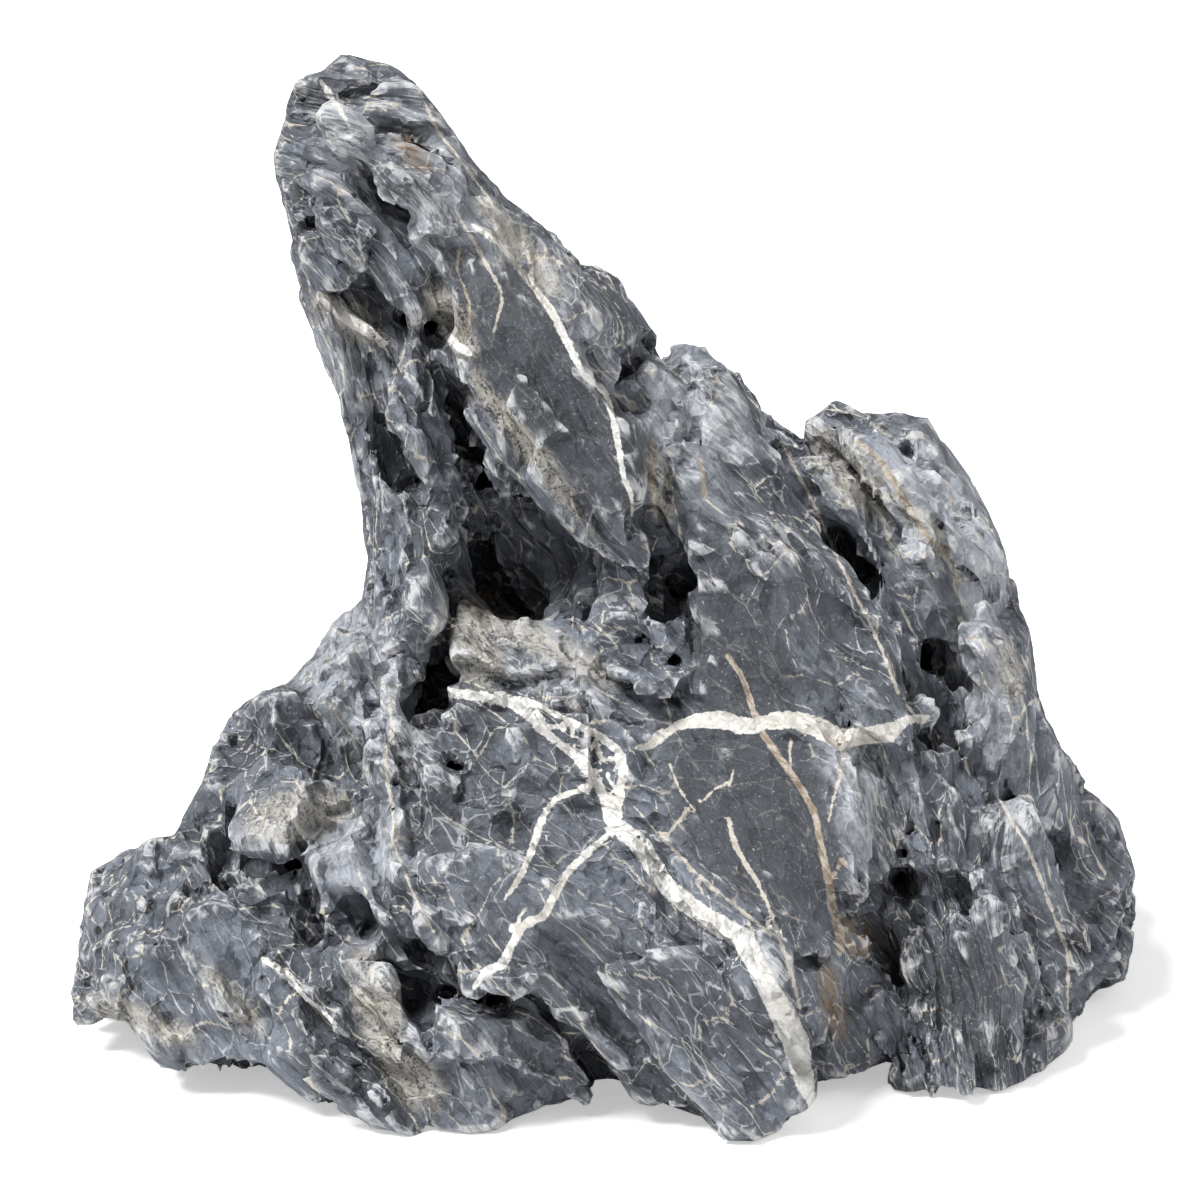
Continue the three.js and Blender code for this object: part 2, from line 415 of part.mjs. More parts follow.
// The right side runs down in leaning fins to a block that stands on its own toe.
const RIGHT_SIDE = {
  core: [
    [74, -4, 91], [85, 4, 86], [95, 2, 79], [108, 0, 72], [116, -4, 57], [121, -18, 30],
    [121, -24, 16], [114, -30, 11], [99, -34, 20], [81, -36, 47], [75, -30, 71], [128, 30, 13],
    [119, 40, 48], [80, 40, 70], [126, 20, 0], [82, 0, 24],
  ],
  upperBlock: [
    [88, -24, 84], [94, -27, 86], [100, -24, 83], [109, -16, 78], [114, -16, 70], [120, -18, 58],
    [116, -22, 55], [102, -30, 60], [98, -32, 63], [87, -28, 75], [115, 30, 63], [126, 30, 43],
    [98, 20, 55],
  ],
  innerFin: [
    [74, -40, 77], [83, -38, 77], [93, -41, 69], [101, -43, 60], [104, -46, 48], [112, -46, 31],
    [114, -45, 24], [116, -44, 3], [106, -50, 3], [93, -56, 44], [96, -58, 19], [73, -52, 52],
    [84, -56, 51], [81, 0, 61], [101, -6, 52], [116, -24, -2], [82, 0, 24], [101, -20, -1],
  ],
  outerFin: [
    [90, -14, 81], [100, -18, 80], [111, -6, 73], [120, -8, 58], [122, -6, 51], [130, -6, 46],
    [135, -6, 31], [135, -8, 22], [133, -12, 12], [126, -18, 3], [119, -26, 22], [106, -26, 62],
    [89, -22, 73], [98, 40, 62], [118, 44, 56], [131, 48, 35], [139, 44, 19], [139, 30, 7],
    [133, 10, -2], [96, 40, 37], [115, 10, -2],
  ],
  outerToe: [
    [119, -16, 56], [129, -10, 48], [135, -8, 32], [135, -10, 23], [131, -16, 19], [131, -24, 12],
    [122, -34, 12], [113, -40, 12], [121, -26, 22], [113, -22, 54], [137, 38, 30], [139, 36, 12],
    [128, 30, -4],
  ],
  middleFin: [
    [88, -22, 83], [98, -24, 80], [106, -24, 69], [105, -30, 63], [97, -34, 65], [88, -30, 74],
    [97, 0, 66], [106, -6, 58],
  ],
  sideFin: [
    [108, -36, 42], [111, -32, 34], [115, -32, 25], [117, -36, 14], [117, -42, 9], [113, -50, 6],
    [109, -56, 7], [108, -54, 15], [109, -48, 25], [119, 0, 7], [114, -20, -7],
  ],
  blockBody: [
    [73, -52, 50], [83, -57, 52], [95, -60, 46], [104, -56, 31], [105, -64, 7], [95, -73, 1],
    [83, -72, 3], [91, -72, 17], [90, -66, 35], [78, -60, 35], [75, -62, 18], [67, -56, 23],
    [77, -10, 27], [108, -20, 15], [106, -40, -4], [81, -20, -1], [89, -40, -9],
  ],
  blockSlab: [
    [76, -62, 31], [80, -64, 37], [85, -68, 42], [90, -72, 46], [94, -74, 43], [94, -76, 18],
    [91, -77, 15], [83, -72, 15], [76, -62, 21], [89, -30, 24], [96, -30, -3], [80, -30, 8],
  ],
  blockEdge: [
    [90, -72, 48], [95, -70, 51], [98, -68, 47], [100, -70, 21], [98, -75, 10], [94, -78, 5],
    [91, -79, 12], [91, -75, 38], [101, -30, 29], [101, -40, -4],
  ],
  blockCorner: [
    [91, -66, 47], [97, -64, 47], [103, -62, 33], [104, -64, 19], [103, -72, 7], [95, -77, 4],
    [90, -70, 37], [102, -30, 8], [104, -40, -4],
  ],
  blockSide: [
    [101, -50, 49], [106, -46, 40], [111, -46, 19], [109, -54, 10], [105, -62, 8], [101, -68, 13],
    [98, -66, 42], [111, -10, 22], [111, -20, -4],
  ],
  toe: [
    [67, -66, 10], [73, -66, 13], [85, -74, 15], [91, -79, 11], [88, -79, 4], [82, -75, 4],
    [70, -68, 4], [70, -30, -4], [90, -30, 0], [81, -50, 0],
  ],
  neckWall: [
    [64, -58, 54], [68, -56, 53], [73, -50, 47], [76, -52, 17], [74, -54, 14], [67, -60, 16],
    [62, -64, 39], [68, -10, 33], [78, -20, 4], [76, -10, 27],
  ],
  alcoveWall: [
    [71, -46, 50], [93, -48, 46], [96, -52, 35], [97, -50, 5], [74, -46, 12], [72, -44, 32],
    [89, 0, 29], [103, 0, -15], [77, 0, -4],
  ],
  rearFlank: [
    [100, 20, 92], [116, 28, 70], [124, 42, 50], [130, 44, 20], [124, 60, 4], [126, 50, -4],
    [110, 72, 22], [106, 70, 62], [98, 62, 100], [90, 20, 20],
  ],
  underside: [
    [60, 10, -4], [118, 10, -4], [116, 0, 30], [108, -14, -4], [80, -30, -4], [60, -30, 30],
    [112, 30, 40], [70, 30, 60], [100, -20, 30],
  ],
};

// The back is plainer: broad leaning ribs with cracks between them.
const BACK = {
  core: [
    [-62, 20, -4], [84, 20, -4], [-62, 30, 108], [-20, 35, 140], [25, 45, 150], [88, 30, 84],
    [-74, 62, -4], [88, 66, -4], [-58, 60, 66], [8, 66, 100], [72, 66, 66], [-40, 10, 60],
    [60, 10, 60],
  ],
  spireRidge: [
    [-66, 20, 205], [-52, 36, 200], [-40, 30, 215], [-66, 44, 160], [-40, 56, 150], [-10, 52, 168],
    [-56, 58, 120], [-20, 68, 110], [10, 58, 140], [-62, 40, 120], [-60, 66, 60], [-20, 76, 60],
    [-72, 20, 150],
  ],
  spireRib: [
    [-60, 40, 200], [-50, 46, 196], [-44, 58, 160], [-34, 66, 128], [-38, 72, 104], [-52, 62, 126],
    [-60, 52, 164], [-50, 20, 190], [-40, 20, 120],
  ],
  leftRib: [
    [-66, 40, 92], [-84, 30, 80], [-60, 56, 92], [-40, 60, 100], [-92, 42, 60], [-100, 48, 20],
    [-98, 36, -4], [-80, 68, 40], [-72, 80, -4], [-40, 84, 20], [-36, 84, -4], [-44, 72, 66],
  ],
  leftLedge: [
    [-96, 38, 58], [-84, 48, 70], [-64, 62, 76], [-50, 74, 58], [-46, 82, 34], [-66, 76, 26],
    [-88, 60, 30], [-102, 44, 38], [-70, 20, 66], [-70, 30, 36],
  ],
  leftFoot: [
    [-128, -2, 14], [-118, 6, 34], [-108, 24, 40], [-122, 8, -4], [-112, -10, -4], [-100, 44, -4],
    [-104, 40, 28], [-84, 50, 30], [-80, 54, -4], [-84, 0, 40], [-92, -20, -4],
  ],
  middleRib: [
    [-8, 56, 128], [20, 54, 142], [34, 56, 134], [-20, 76, 60], [-28, 88, 14], [-26, 88, -4],
    [14, 84, 56], [22, 96, -4], [24, 94, 18], [50, 84, -4], [46, 72, 60], [44, 60, 112],
  ],
  leanRib: [
    [-36, 66, 112], [-20, 72, 120], [-6, 80, 88], [4, 90, 50], [2, 98, 14], [-4, 97, -4],
    [-34, 92, -4], [-30, 88, 40], [-38, 78, 74], [-20, 40, 100], [-20, 40, -4],
  ],
  heel: [
    [14, 90, 30], [34, 92, 38], [52, 88, 24], [58, 90, 8], [52, 90, -4], [24, 98, -4], [12, 96, 10],
    [30, 50, 30], [40, 50, -4],
  ],
  rightRib: [
    [60, 50, 132], [80, 56, 134], [96, 58, 116], [104, 54, 96], [58, 66, 90], [66, 80, 30],
    [60, 86, -4], [92, 82, -4], [104, 72, 30], [110, 60, 60], [112, 66, -4], [118, 50, 30],
  ],
  rightStep: [
    [40, 60, 98], [62, 66, 106], [78, 74, 80], [84, 84, 44], [78, 92, 14], [74, 90, -4],
    [44, 90, -4], [38, 84, 36], [44, 74, 74], [60, 30, 90], [60, 30, -4],
  ],
  rightFoot: [
    [96, 10, -4], [128, 24, 10], [126, 20, -4], [132, 44, 14], [126, 52, -4], [112, 66, 6],
    [100, 70, -4], [104, 62, 40], [124, 40, 44], [98, 30, 50],
  ],
};

// ---- what time has taken out of them

const HOLLOWS = {
  cave: [
    [-27, -60, 154], [-18, -60, 150], [-9, -60, 142], [0, -60, 132], [9, -60, 129], [13, -60, 119],
    [9, -60, 107], [-9, -60, 109], [-19, -60, 116], [-28, -60, 121], [-30, -60, 129], [-29, -60, 143],
    [-25, 8, 127], [-10, 8, 122], [5, 4, 112], [8, 2, 102], [-10, 6, 95], [-23, 10, 100],
    [-28, 12, 115],
  ],
  caveRight: [
    [12, -70, 140], [16, -70, 136], [24, -70, 112], [24, -70, 105], [13, -70, 105], [9, -70, 112],
    [13, -70, 122], [16, -14, 117], [22, -16, 97], [25, -18, 92], [14, -12, 92],
  ],
  caveLeft: [
    [-36, -60, 125], [-39, -60, 129], [-35, -60, 136], [-31, -60, 138], [-28, -60, 129],
    [-30, -60, 121], [-37, -8, 110], [-35, -4, 119], [-31, 0, 113],
  ],
  outerSlit: [
    [-49, -50, 159], [-47, -50, 157], [-43, -50, 150], [-37, -50, 141], [-39, -50, 140],
    [-49, -50, 152], [-52, 8, 145], [-44, 6, 131], [-50, 8, 137],
  ],
  innerSlit: [
    [-38, -60, 172], [-36, -60, 171], [-30, -60, 157], [-26, -60, 143], [-27, -60, 133],
    [-32, -60, 129], [-33, -60, 150], [-39, -60, 164], [-39, 10, 152], [-33, 10, 137], [-33, 8, 119],
  ],
  legSlot: [
    [-38, -60, 106], [-35, -60, 107], [-36, -60, 97], [-39, -60, 92], [-46, -60, 91], [-46, -60, 93],
    [-40, -60, 102], [-40, -8, 90], [-39, -14, 83], [-46, -20, 80],
  ],
  pinHole: [
    [-34, -90, 90], [-31, -90, 90], [-30, -90, 87], [-31, -90, 85], [-34, -90, 85], [-35, -90, 87],
    [-36, -42, 74], [-33, -42, 73], [-33, -42, 70], [-36, -42, 70],
  ],
  browDent: [
    [-58, -50, 222], [-53, -50, 221], [-48, -50, 212], [-47, -50, 205], [-52, -50, 208],
    [-57, -50, 213], [-57, -14, 214], [-51, -16, 205],
  ],
  peakHole: [
    [80, -50, 105], [83, -50, 106], [90, -50, 96], [86, -50, 92], [84, -50, 86], [78, -50, 82],
    [77, -50, 94], [87, 8, 85], [92, 6, 79], [88, 2, 71],
  ],
  peakSlit: [
    [56, -20, 125], [61, -20, 123], [65, -20, 116], [65, -20, 110], [58, -20, 118], [62, 16, 113],
    [66, 14, 105],
  ],
  blockSeam: [
    [76, -60, 85], [82, -60, 84], [94, -60, 74], [94, -60, 70], [80, -60, 78], [85, -26, 71],
    [96, -26, 63], [87, -26, 68],
  ],
  finDent: [
    [75, -80, 75], [78, -80, 73], [80, -80, 66], [79, -80, 63], [75, -80, 66], [81, -44, 59],
    [82, -45, 54],
  ],
  finGroove: [
    [101, -70, 64], [104, -70, 61], [113, -70, 37], [115, -70, 33], [113, -70, 31], [102, -70, 56],
    [110, -26, 41], [119, -28, 20], [117, -26, 22],
  ],
  alcove: [
    [70, -90, 64], [78, -90, 64], [88, -90, 60], [88, -90, 55], [75, -90, 46], [72, -90, 39],
    [68, -90, 49], [76, -50, 47], [86, -52, 45], [78, -50, 35], [74, -50, 30],
  ],
  undercut: [
    [51, -110, 22], [63, -110, 30], [69, -110, 35], [73, -110, 36], [75, -110, 30], [66, -110, 25],
    [65, -110, 18], [59, -110, 14], [52, -110, 14], [56, -66, 5], [77, -46, 8], [73, -48, 3],
    [69, -46, -11],
  ],
  footGap: [
    [-9, -120, 40], [-2, -120, 40], [4, -120, 34], [12, -120, 17], [9, -120, 13], [3, -120, 16],
    [-4, -120, 32], [-5, -78, 21], [7, -76, 3], [4, -74, 0],
  ],
  boulderFold: [
    [-45, -100, 64], [-42, -100, 63], [-38, -100, 51], [-36, -100, 39], [-39, -100, 35],
    [-44, -100, 52], [-44, -80, 52], [-39, -85, 36],
  ],
  ridgeSlot: [
    [29, -80, 130], [32, -80, 131], [34, -80, 124], [32, -80, 119], [29, -80, 127], [33, -36, 115],
    [34, -38, 110],
  ],
  shoulderBowl: [
    [-60, -80, 91], [-56, -80, 89], [-56, -80, 83], [-60, -80, 77], [-63, -80, 77], [-61, -46, 76],
    [-62, -48, 70],
  ],
  lobeBowl: [
    [-80, -90, 68], [-72, -90, 68], [-70, -90, 63], [-73, -90, 60], [-80, -90, 63], [-81, -52, 53],
    [-75, -54, 50],
  ],
  buttressBowl: [
    [-60, -110, 62], [-55, -110, 63], [-51, -110, 57], [-51, -110, 54], [-57, -110, 55],
    [-58, -72, 45], [-55, -74, 42],
  ],
  backCrackRight: [
    [30, 110, 104], [38, 110, 100], [46, 110, 50], [40, 110, -10], [30, 110, -10], [34, 66, 94],
    [38, 74, 44], [36, 76, -10],
  ],
  backCrackLeft: [
    [-56, 110, 96], [-46, 110, 96], [-38, 110, 50], [-44, 110, -10], [-54, 110, -10], [-48, 62, 86],
    [-42, 72, 50], [-48, 76, -10],
  ],
  backPocket: [
    [-10, 110, 96], [10, 110, 102], [18, 110, 78], [6, 110, 62], [-10, 110, 70], [-2, 62, 88],
    [8, 62, 80], [0, 68, 72],
  ],
  sidePocket: [
    [-140, 20, 78], [-140, 36, 74], [-140, 40, 56], [-140, 12, 60], [-80, 24, 70], [-82, 34, 62],
    [-82, 22, 58],
  ],
};

// Rock that still stands inside the hollows.
const REMNANTS = {
  caveBoss: [
    [-25, 0, 127], [-15, -2, 129], [-5, -4, 123], [1, -8, 115], [0, -14, 107], [-6, -18, 100],
    [-14, -16, 98], [-24, -2, 114], [-20, 24, 118], [-3, 20, 108], [-10, 10, 95],
  ],
  caveRib: [
    [-20, 2, 128], [-14, -6, 125], [-11, -10, 116], [-13, -14, 107], [-15, -6, 107], [-18, 4, 123],
    [-15, 16, 114], [-13, 8, 103],
  ],
  caveSideRib: [
    [-7, -2, 125], [-2, -14, 124], [1, -18, 118], [0, -20, 111], [-3, -20, 106], [-4, -4, 117],
    [-3, 10, 111], [-2, 4, 102],
  ],
  caveFin: [
    [-39, 12, 140], [-34, 6, 141], [-27, -2, 129], [-26, -6, 125], [-27, -12, 119], [-32, -18, 111],
    [-34, -14, 109], [-30, 2, 123], [-28, 20, 124], [-34, 10, 106],
  ],
  caveCurtain: [
    [0, -26, 125], [5, -30, 124], [10, -32, 123], [13, -34, 118], [12, -36, 111], [13, -36, 106],
    [7, -38, 108], [1, -34, 104], [2, -31, 116], [5, 0, 116], [13, 0, 108], [10, -14, 100],
  ],
  caveShelf: [
    [-41, -26, 118], [-37, -20, 122], [-32, -14, 122], [-28, -14, 118], [-27, -22, 109],
    [-37, -28, 116], [-38, 10, 113], [-30, 6, 104], [-41, 4, 110],
  ],
  caveDrip: [
    [15, -30, 121], [18, -34, 115], [22, -40, 106], [24, -44, 100], [22, -44, 98], [15, -42, 101],
    [15, -34, 112], [22, -14, 97], [17, -10, 111], [17, -18, 95],
  ],
  caveSill: [
    [2, -40, 100], [10, -44, 102], [16, -50, 100], [24, -50, 97], [17, -56, 96], [9, -56, 96],
    [10, -20, 93], [22, -20, 85],
  ],
  slitTongue: [
    [-49, -26, 152], [-46, -30, 154], [-43, -32, 151], [-35, -35, 144], [-35, -35, 139],
    [-40, -33, 141], [-47, -29, 149], [-44, 0, 144], [-38, -4, 132],
  ],
};

// Flat faces where the stone split along its lamination: middle and radius of each.
const FRESH_FACES = [
  { middle: [42, -62, 62], radius: 34 },
  { middle: [20, -74, 58], radius: 26 },
  { middle: [-14, -38, 164], radius: 26 },
];

// ---- joining and cutting

function solidFrom(geometry) {
  const bare = new THREE.BufferGeometry();
  bare.setAttribute("position", geometry.getAttribute("position"));
  bare.setIndex(geometry.index);
  const merged = mergeVertices(bare, 1e-4);
  const mesh = new wasm.Mesh({
    numProp: 3,
    vertProperties: merged.attributes.position.array,
    triVerts: new Uint32Array(merged.index.array),
  });
  return new wasm.Manifold(mesh);
}

function hull(corners) {
  const points = corners.map((corner) => new THREE.Vector3(...corner).multiplyScalar(SCALE));
  return solidFrom(new ConvexGeometry(points));
}

function joinAll(group, start) {
  let body = start;
  for (const corners of Object.values(group)) {
    body = body ? body.add(hull(corners)) : hull(corners);
  }
  return body;
}

function cutAll(group, body) {
  let rest = body;
  for (const corners of Object.values(group)) {
    rest = rest.subtract(hull(corners));
  }
  return rest;
}

function cutBelow(body, level) {
  const slab = new THREE.BoxGeometry(900, 900, 200);
  slab.translate(0, 0, level - 100);
  return body.subtract(solidFrom(slab));
}

function largestPiece(body) {
  const pieces = body.decompose();
  pieces.sort((one, other) => other.volume() - one.volume());
  return pieces[0];
}

// ---- a net of triangles whose edges can be split, closed up and turned

class Net {
  constructor(solid) {
    const mesh = solid.getMesh();
    this.points = [];
    for (let i = 0; i < mesh.numVert; i++) {
      const start = i * mesh.numProp;
      this.points.push(new THREE.Vector3(...mesh.vertProperties.slice(start, start + 3)));
    }
    this.faces = new Map();
    this.facesAt = this.points.map(() => new Set());
    this.nextFace = 0;
    const sameAs = new Map();
    mesh.mergeFromVert.forEach((from, i) => sameAs.set(from, mesh.mergeToVert[i]));
    for (let i = 0; i < mesh.numTri; i++) {
      const corners = Array.from(mesh.triVerts.slice(3 * i, 3 * i + 3));
      this.addFace(corners.map((v) => sameAs.get(v) ?? v));
    }
  }

  addFace(corners) {
    const face = this.nextFace++;
    this.faces.set(face, corners);
    for (const v of corners) this.facesAt[v].add(face);
  }

  dropFace(face) {
    for (const v of this.faces.get(face)) this.facesAt[v].delete(face);
    this.faces.delete(face);
  }

  facesBeside(a, b) {
    return [...this.facesAt[a]].filter((face) => this.facesAt[b].has(face));
  }

  neighbours(v) {
    const found = new Set();
    for (const face of this.facesAt[v]) {
      for (const w of this.faces.get(face)) {
        if (w !== v) found.add(w);
      }
    }
    return found;
  }

  edges() {
    const found = [];
    for (const [a, b, c] of this.faces.values()) {
      if (a < b) found.push([a, b]);
      if (b < c) found.push([b, c]);
      if (c < a) found.push([c, a]);
    }
    return found;
  }

  areaVector(corners) {
    const [a, b, c] = corners.map((v) => this.points[v]);
    return b.clone().sub(a).cross(c.clone().sub(a));
  }

  length(a, b) {
    return this.points[a].distanceTo(this.points[b]);
  }

  middle(a, b) {
    return this.points[a].clone().lerp(this.points[b], 0.5);
  }

  isCrease(a, b) {
    const [one, other] = this.facesBeside(a, b).map((face) => this.areaVector(this.faces.get(face)));
    return one.normalize().dot(other.normalize()) < 0.82;
  }

  // 0 on a smooth face, 1 along a crease, 2 where creases meet
  cornerRank(v) {
    let creases = 0;
    for (const w of this.neighbours(v)) {
      if (this.isCrease(v, w)) creases++;
    }
    return Math.min(2, Math.ceil(creases / 2));
  }

  split(a, b) {
    const m = this.points.length;
    this.points.push(this.middle(a, b));
    this.facesAt.push(new Set());
    for (const face of this.facesBeside(a, b)) {
      const corners = this.faces.get(face);
      this.dropFace(face);
      this.addFace(corners.map((v) => (v === b ? m : v)));
      this.addFace(corners.map((v) => (v === a ? m : v)));
    }
  }

  // moves corner a onto corner b, unless that would fold or pinch the net
  closeUp(a, b, longest) {
    const around = this.neighbours(b);
    const shared = [...this.neighbours(a)].filter((v) => around.has(v));
    if (shared.length !== 2) return false;
    const faces = [...this.facesAt[a]];
    for (const face of faces) {
      const corners = this.faces.get(face);
      if (corners.includes(b)) continue;
      const before = this.areaVector(corners);
      const after = this.areaVector(corners.map((v) => (v === a ? b : v)));
      const sizes = before.length() * after.length();
      if (after.length() < 1e-3) return false;
      if (before.length() > 0.05 && before.dot(after) < 0.3 * sizes) return false;
      if (corners.some((v) => v !== a && this.length(v, b) > longest)) return false;
    }
    for (const face of faces) {
      const corners = this.faces.get(face);
      this.dropFace(face);
      if (!corners.includes(b)) this.addFace(corners.map((v) => (v === a ? b : v)));
    }
    return true;
  }

  // swaps an edge for the other diagonal of its two triangles where that makes them rounder
  turn(a, b) {
    const faces = this.facesBeside(a, b);
    const [c, d] = faces.map((face) => this.faces.get(face).find((v) => v !== a && v !== b));
    if (c === d || this.neighbours(c).has(d)) return;
    const [one, other] = faces.map((face) => this.areaVector(this.faces.get(face)));
    const thin = Math.min(one.length(), other.length()) < 0.05;
    if (!thin && one.angleTo(other) > 0.35) return;
    if (this.angleAt(c, a, b) + this.angleAt(d, a, b) < Math.PI + 0.02) return;
    const corners = this.faces.get(faces[0]);
    const forward = corners[(corners.indexOf(a) + 1) % 3] === b;
    const first = forward ? [a, d, c] : [a, c, d];
    const second = forward ? [d, b, c] : [c, b, d];
    const whole = one.clone().add(other);
    if (this.areaVector(first).dot(whole) <= 0 || this.areaVector(second).dot(whole) <= 0) return;
    faces.forEach((face) => this.dropFace(face));
    this.addFace(first);
    this.addFace(second);
  }

  angleAt(v, a, b) {
    const toA = this.points[a].clone().sub(this.points[v]);
    const toB = this.points[b].clone().sub(this.points[v]);
    return toA.angleTo(toB);
  }

  outward(v) {
    const sum = new THREE.Vector3();
    for (const face of this.facesAt[v]) sum.add(this.areaVector(this.faces.get(face)));
    return sum.normalize();
  }

  toGeometry() {
    const newIndex = new Map();
    const positions = [];
    const index = [];
    for (const corners of this.faces.values()) {
      for (const v of corners) {
        if (!newIndex.has(v)) {
          newIndex.set(v, newIndex.size);
          positions.push(...this.points[v].toArray());
        }
        index.push(newIndex.get(v));
      }
    }
    const geometry = new THREE.BufferGeometry();
    geometry.setAttribute("position", new THREE.Float32BufferAttribute(positions, 3));
    geometry.setIndex(index);
    return geometry;
  }
}

function wantedSide(point) {
  const back = THREE.MathUtils.smoothstep(point.y / SCALE, COARSE_FROM, COARSE_FULL);
  return SCALE * THREE.MathUtils.lerp(FINE_SIDE, COARSE_SIDE, back);
}

function closeShortEdges(net) {
  for (const [a, b] of net.edges()) {
    if (net.facesBeside(a, b).length !== 2) continue;
    const side = wantedSide(net.points[a]);
    const length = net.length(a, b);
    if (length > 0.76 * side) continue;
    const rankA = net.cornerRank(a);
    const rankB = net.cornerRank(b);
    const slides = net.isCrease(a, b) || length < 0.34 * side;
    const longest = 1.7 * side;
    const closed = rankA <= rankB && (rankA === 0 || slides) && net.closeUp(a, b, longest);
    if (!closed && rankB <= rankA && (rankB === 0 || slides)) net.closeUp(b, a, longest);
  }
}

function splitLongEdges(net) {
  for (const [a, b] of net.edges()) {
    if (net.length(a, b) > 1.45 * wantedSide(net.middle(a, b))) net.split(a, b);
  }
}

function turnEdges(net) {
  for (const [a, b] of net.edges()) {
    if (net.facesBeside(a, b).length === 2) net.turn(a, b);
  }
}

function evenOut(net, rounds) {
  for (let round = 0; round < rounds; round++) {
    closeShortEdges(net);
    splitLongEdges(net);
    turnEdges(net);
    turnEdges(net);
  }
  closeShortEdges(net);
}

// ---- weathering: lumps and scalloped bowls with sharp rims, drawn out along the lamination

function hash(x, y, z, seed) {
  let h = Math.imul(x, 374761393) + Math.imul(y, 668265263);
  h = h + Math.imul(z, 1442695041) + Math.imul(seed, 974634777);
  h = Math.imul(h ^ (h >>> 13), 1274126177);
  return ((h ^ (h >>> 16)) >>> 0) / 4294967295;
}

// smooth noise between -1 and 1
function lumps(p, seed) {
  const [x, y, z] = p.toArray().map(Math.floor);
  const ease = p.toArray().map((value) => THREE.MathUtils.smoothstep(value - Math.floor(value), 0, 1));
  let sum = 0;
  for (let i = 0; i < 8; i++) {
    const step = [i & 1, (i >> 1) & 1, i >> 2];
    const weight = step.reduce((product, on, k) => product * (on ? ease[k] : 1 - ease[k]), 1);
    sum += weight * hash(x + step[0], y + step[1], z + step[2], seed);
  }
  return 2 * sum - 1;
}

// 0 in the middle of a bowl, 1 on the rim between two bowls
function bowls(p, seed) {
  const [x, y, z] = p.toArray().map(Math.floor);
  let nearest = 9;
  let second = 9;
  for (let i = 0; i < 27; i++) {
    const cell = [x + (i % 3) - 1, y + (Math.floor(i / 3) % 3) - 1, z + Math.floor(i / 9) - 1];
    const centre = cell.map((value, k) => value + hash(...cell, seed + k));
    const distance = p.distanceTo(new THREE.Vector3(...centre));
    second = Math.min(second, Math.max(nearest, distance));
    nearest = Math.min(nearest, distance);
  }
  return nearest / second;
}

// 1 on old faces, FRESH_WEAR in the middle of a freshly cleaved one
function wearAt(place) {
  let wear = 1;
  for (const { middle, radius } of FRESH_FACES) {
    const reach = place.distanceTo(new THREE.Vector3(...middle)) / radius;
    const here = THREE.MathUtils.lerp(FRESH_WEAR, 1, THREE.MathUtils.smoothstep(reach, 0.7, 1.1));
    wear = Math.min(wear, here);
  }
  return wear;
}

function weather(net) {
  const outward = net.points.map((_, v) => net.outward(v));
  const upright = new THREE.Vector3(0, 1, 0);
  net.points.forEach((point, v) => {
    const place = point.clone().divideScalar(SCALE);
    const grain = place.clone().applyAxisAngle(upright, GRAIN_LEAN);
    grain.z /= GRAIN_STRETCH;
    const broad = grain.clone().divideScalar(LUMP_SIZE);
    const small = grain.clone().divideScalar(SCALLOP_SIZE);
    let push = LUMP_DEPTH * lumps(broad, 1);
    push += BOWL_DEPTH * (bowls(broad, 5) - 0.75);
    push += SCALLOP_DEPTH * (bowls(small, 9) - 0.75);
    push += GRIT_DEPTH * lumps(place.divideScalar(GRIT_SIZE), 3);
    const back = THREE.MathUtils.smoothstep(point.y / SCALE, COARSE_FROM, COARSE_FULL);
    push *= THREE.MathUtils.lerp(wearAt(point.clone().divideScalar(SCALE)), BACK_BOOST, back);
    point.addScaledVector(outward[v], SCALE * push);
  });
}

// ---- the stone

function roughStone() {
  let body = null;
  for (const group of [SPIRE, LEG, LEFT_SIDE, FRONT_LEFT, BOULDER, RIDGE, RIGHT_PEAK, RIGHT_SIDE, BACK]) {
    body = joinAll(group, body);
  }
  body = cutAll(HOLLOWS, body);
  body = joinAll(REMNANTS, body);
  return largestPiece(cutBelow(body, -FLOOR_MARGIN));
}

function weatheredStone() {
  const net = new Net(roughStone());
  evenOut(net, 6);
  weather(net);
  return largestPiece(cutBelow(solidFrom(net.toGeometry()), 0));
}

function toMesh(solid, material, name) {
  const net = new Net(solid);
  const geometry = net.toGeometry().toNonIndexed();
  geometry.computeBoundingBox();
  const centre = geometry.boundingBox.getCenter(new THREE.Vector3());
  geometry.translate(-centre.x, -centre.y, -geometry.boundingBox.min.z);
  geometry.computeVertexNormals();
  const mesh = new THREE.Mesh(geometry, material);
  mesh.name = name;
  return mesh;
}

const limestone = new THREE.MeshStandardMaterial({ color: 0x5c626b, roughness: 0.85, metalness: 0 });

const group = new THREE.Group();
group.name = "stone_group";
group.add(toMesh(weatheredStone(), limestone, "seiryu_stone"));

export default group;
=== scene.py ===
# %% [markdown]
# # A seiryu stone
# Seiryu stone is a hard, dark, finely laminated limestone. Weather eats it along its layers, so
# it has sharp ridges, scalloped bowls and long flutes, and white calcite fills its old cracks.
# It could be sculpted by hand, or pushed out of a smooth lump by displacement. This lesson
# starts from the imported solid, which has the right masses, and gives it a skin: first the
# relief as real geometry, then the veins and stains as values that the mesh carries, and last
# one limestone material that reads them. Lengths typed below are millimetres.

import math

import bpy
import numpy as np
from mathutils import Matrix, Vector
from mathutils.bvhtree import BVHTree


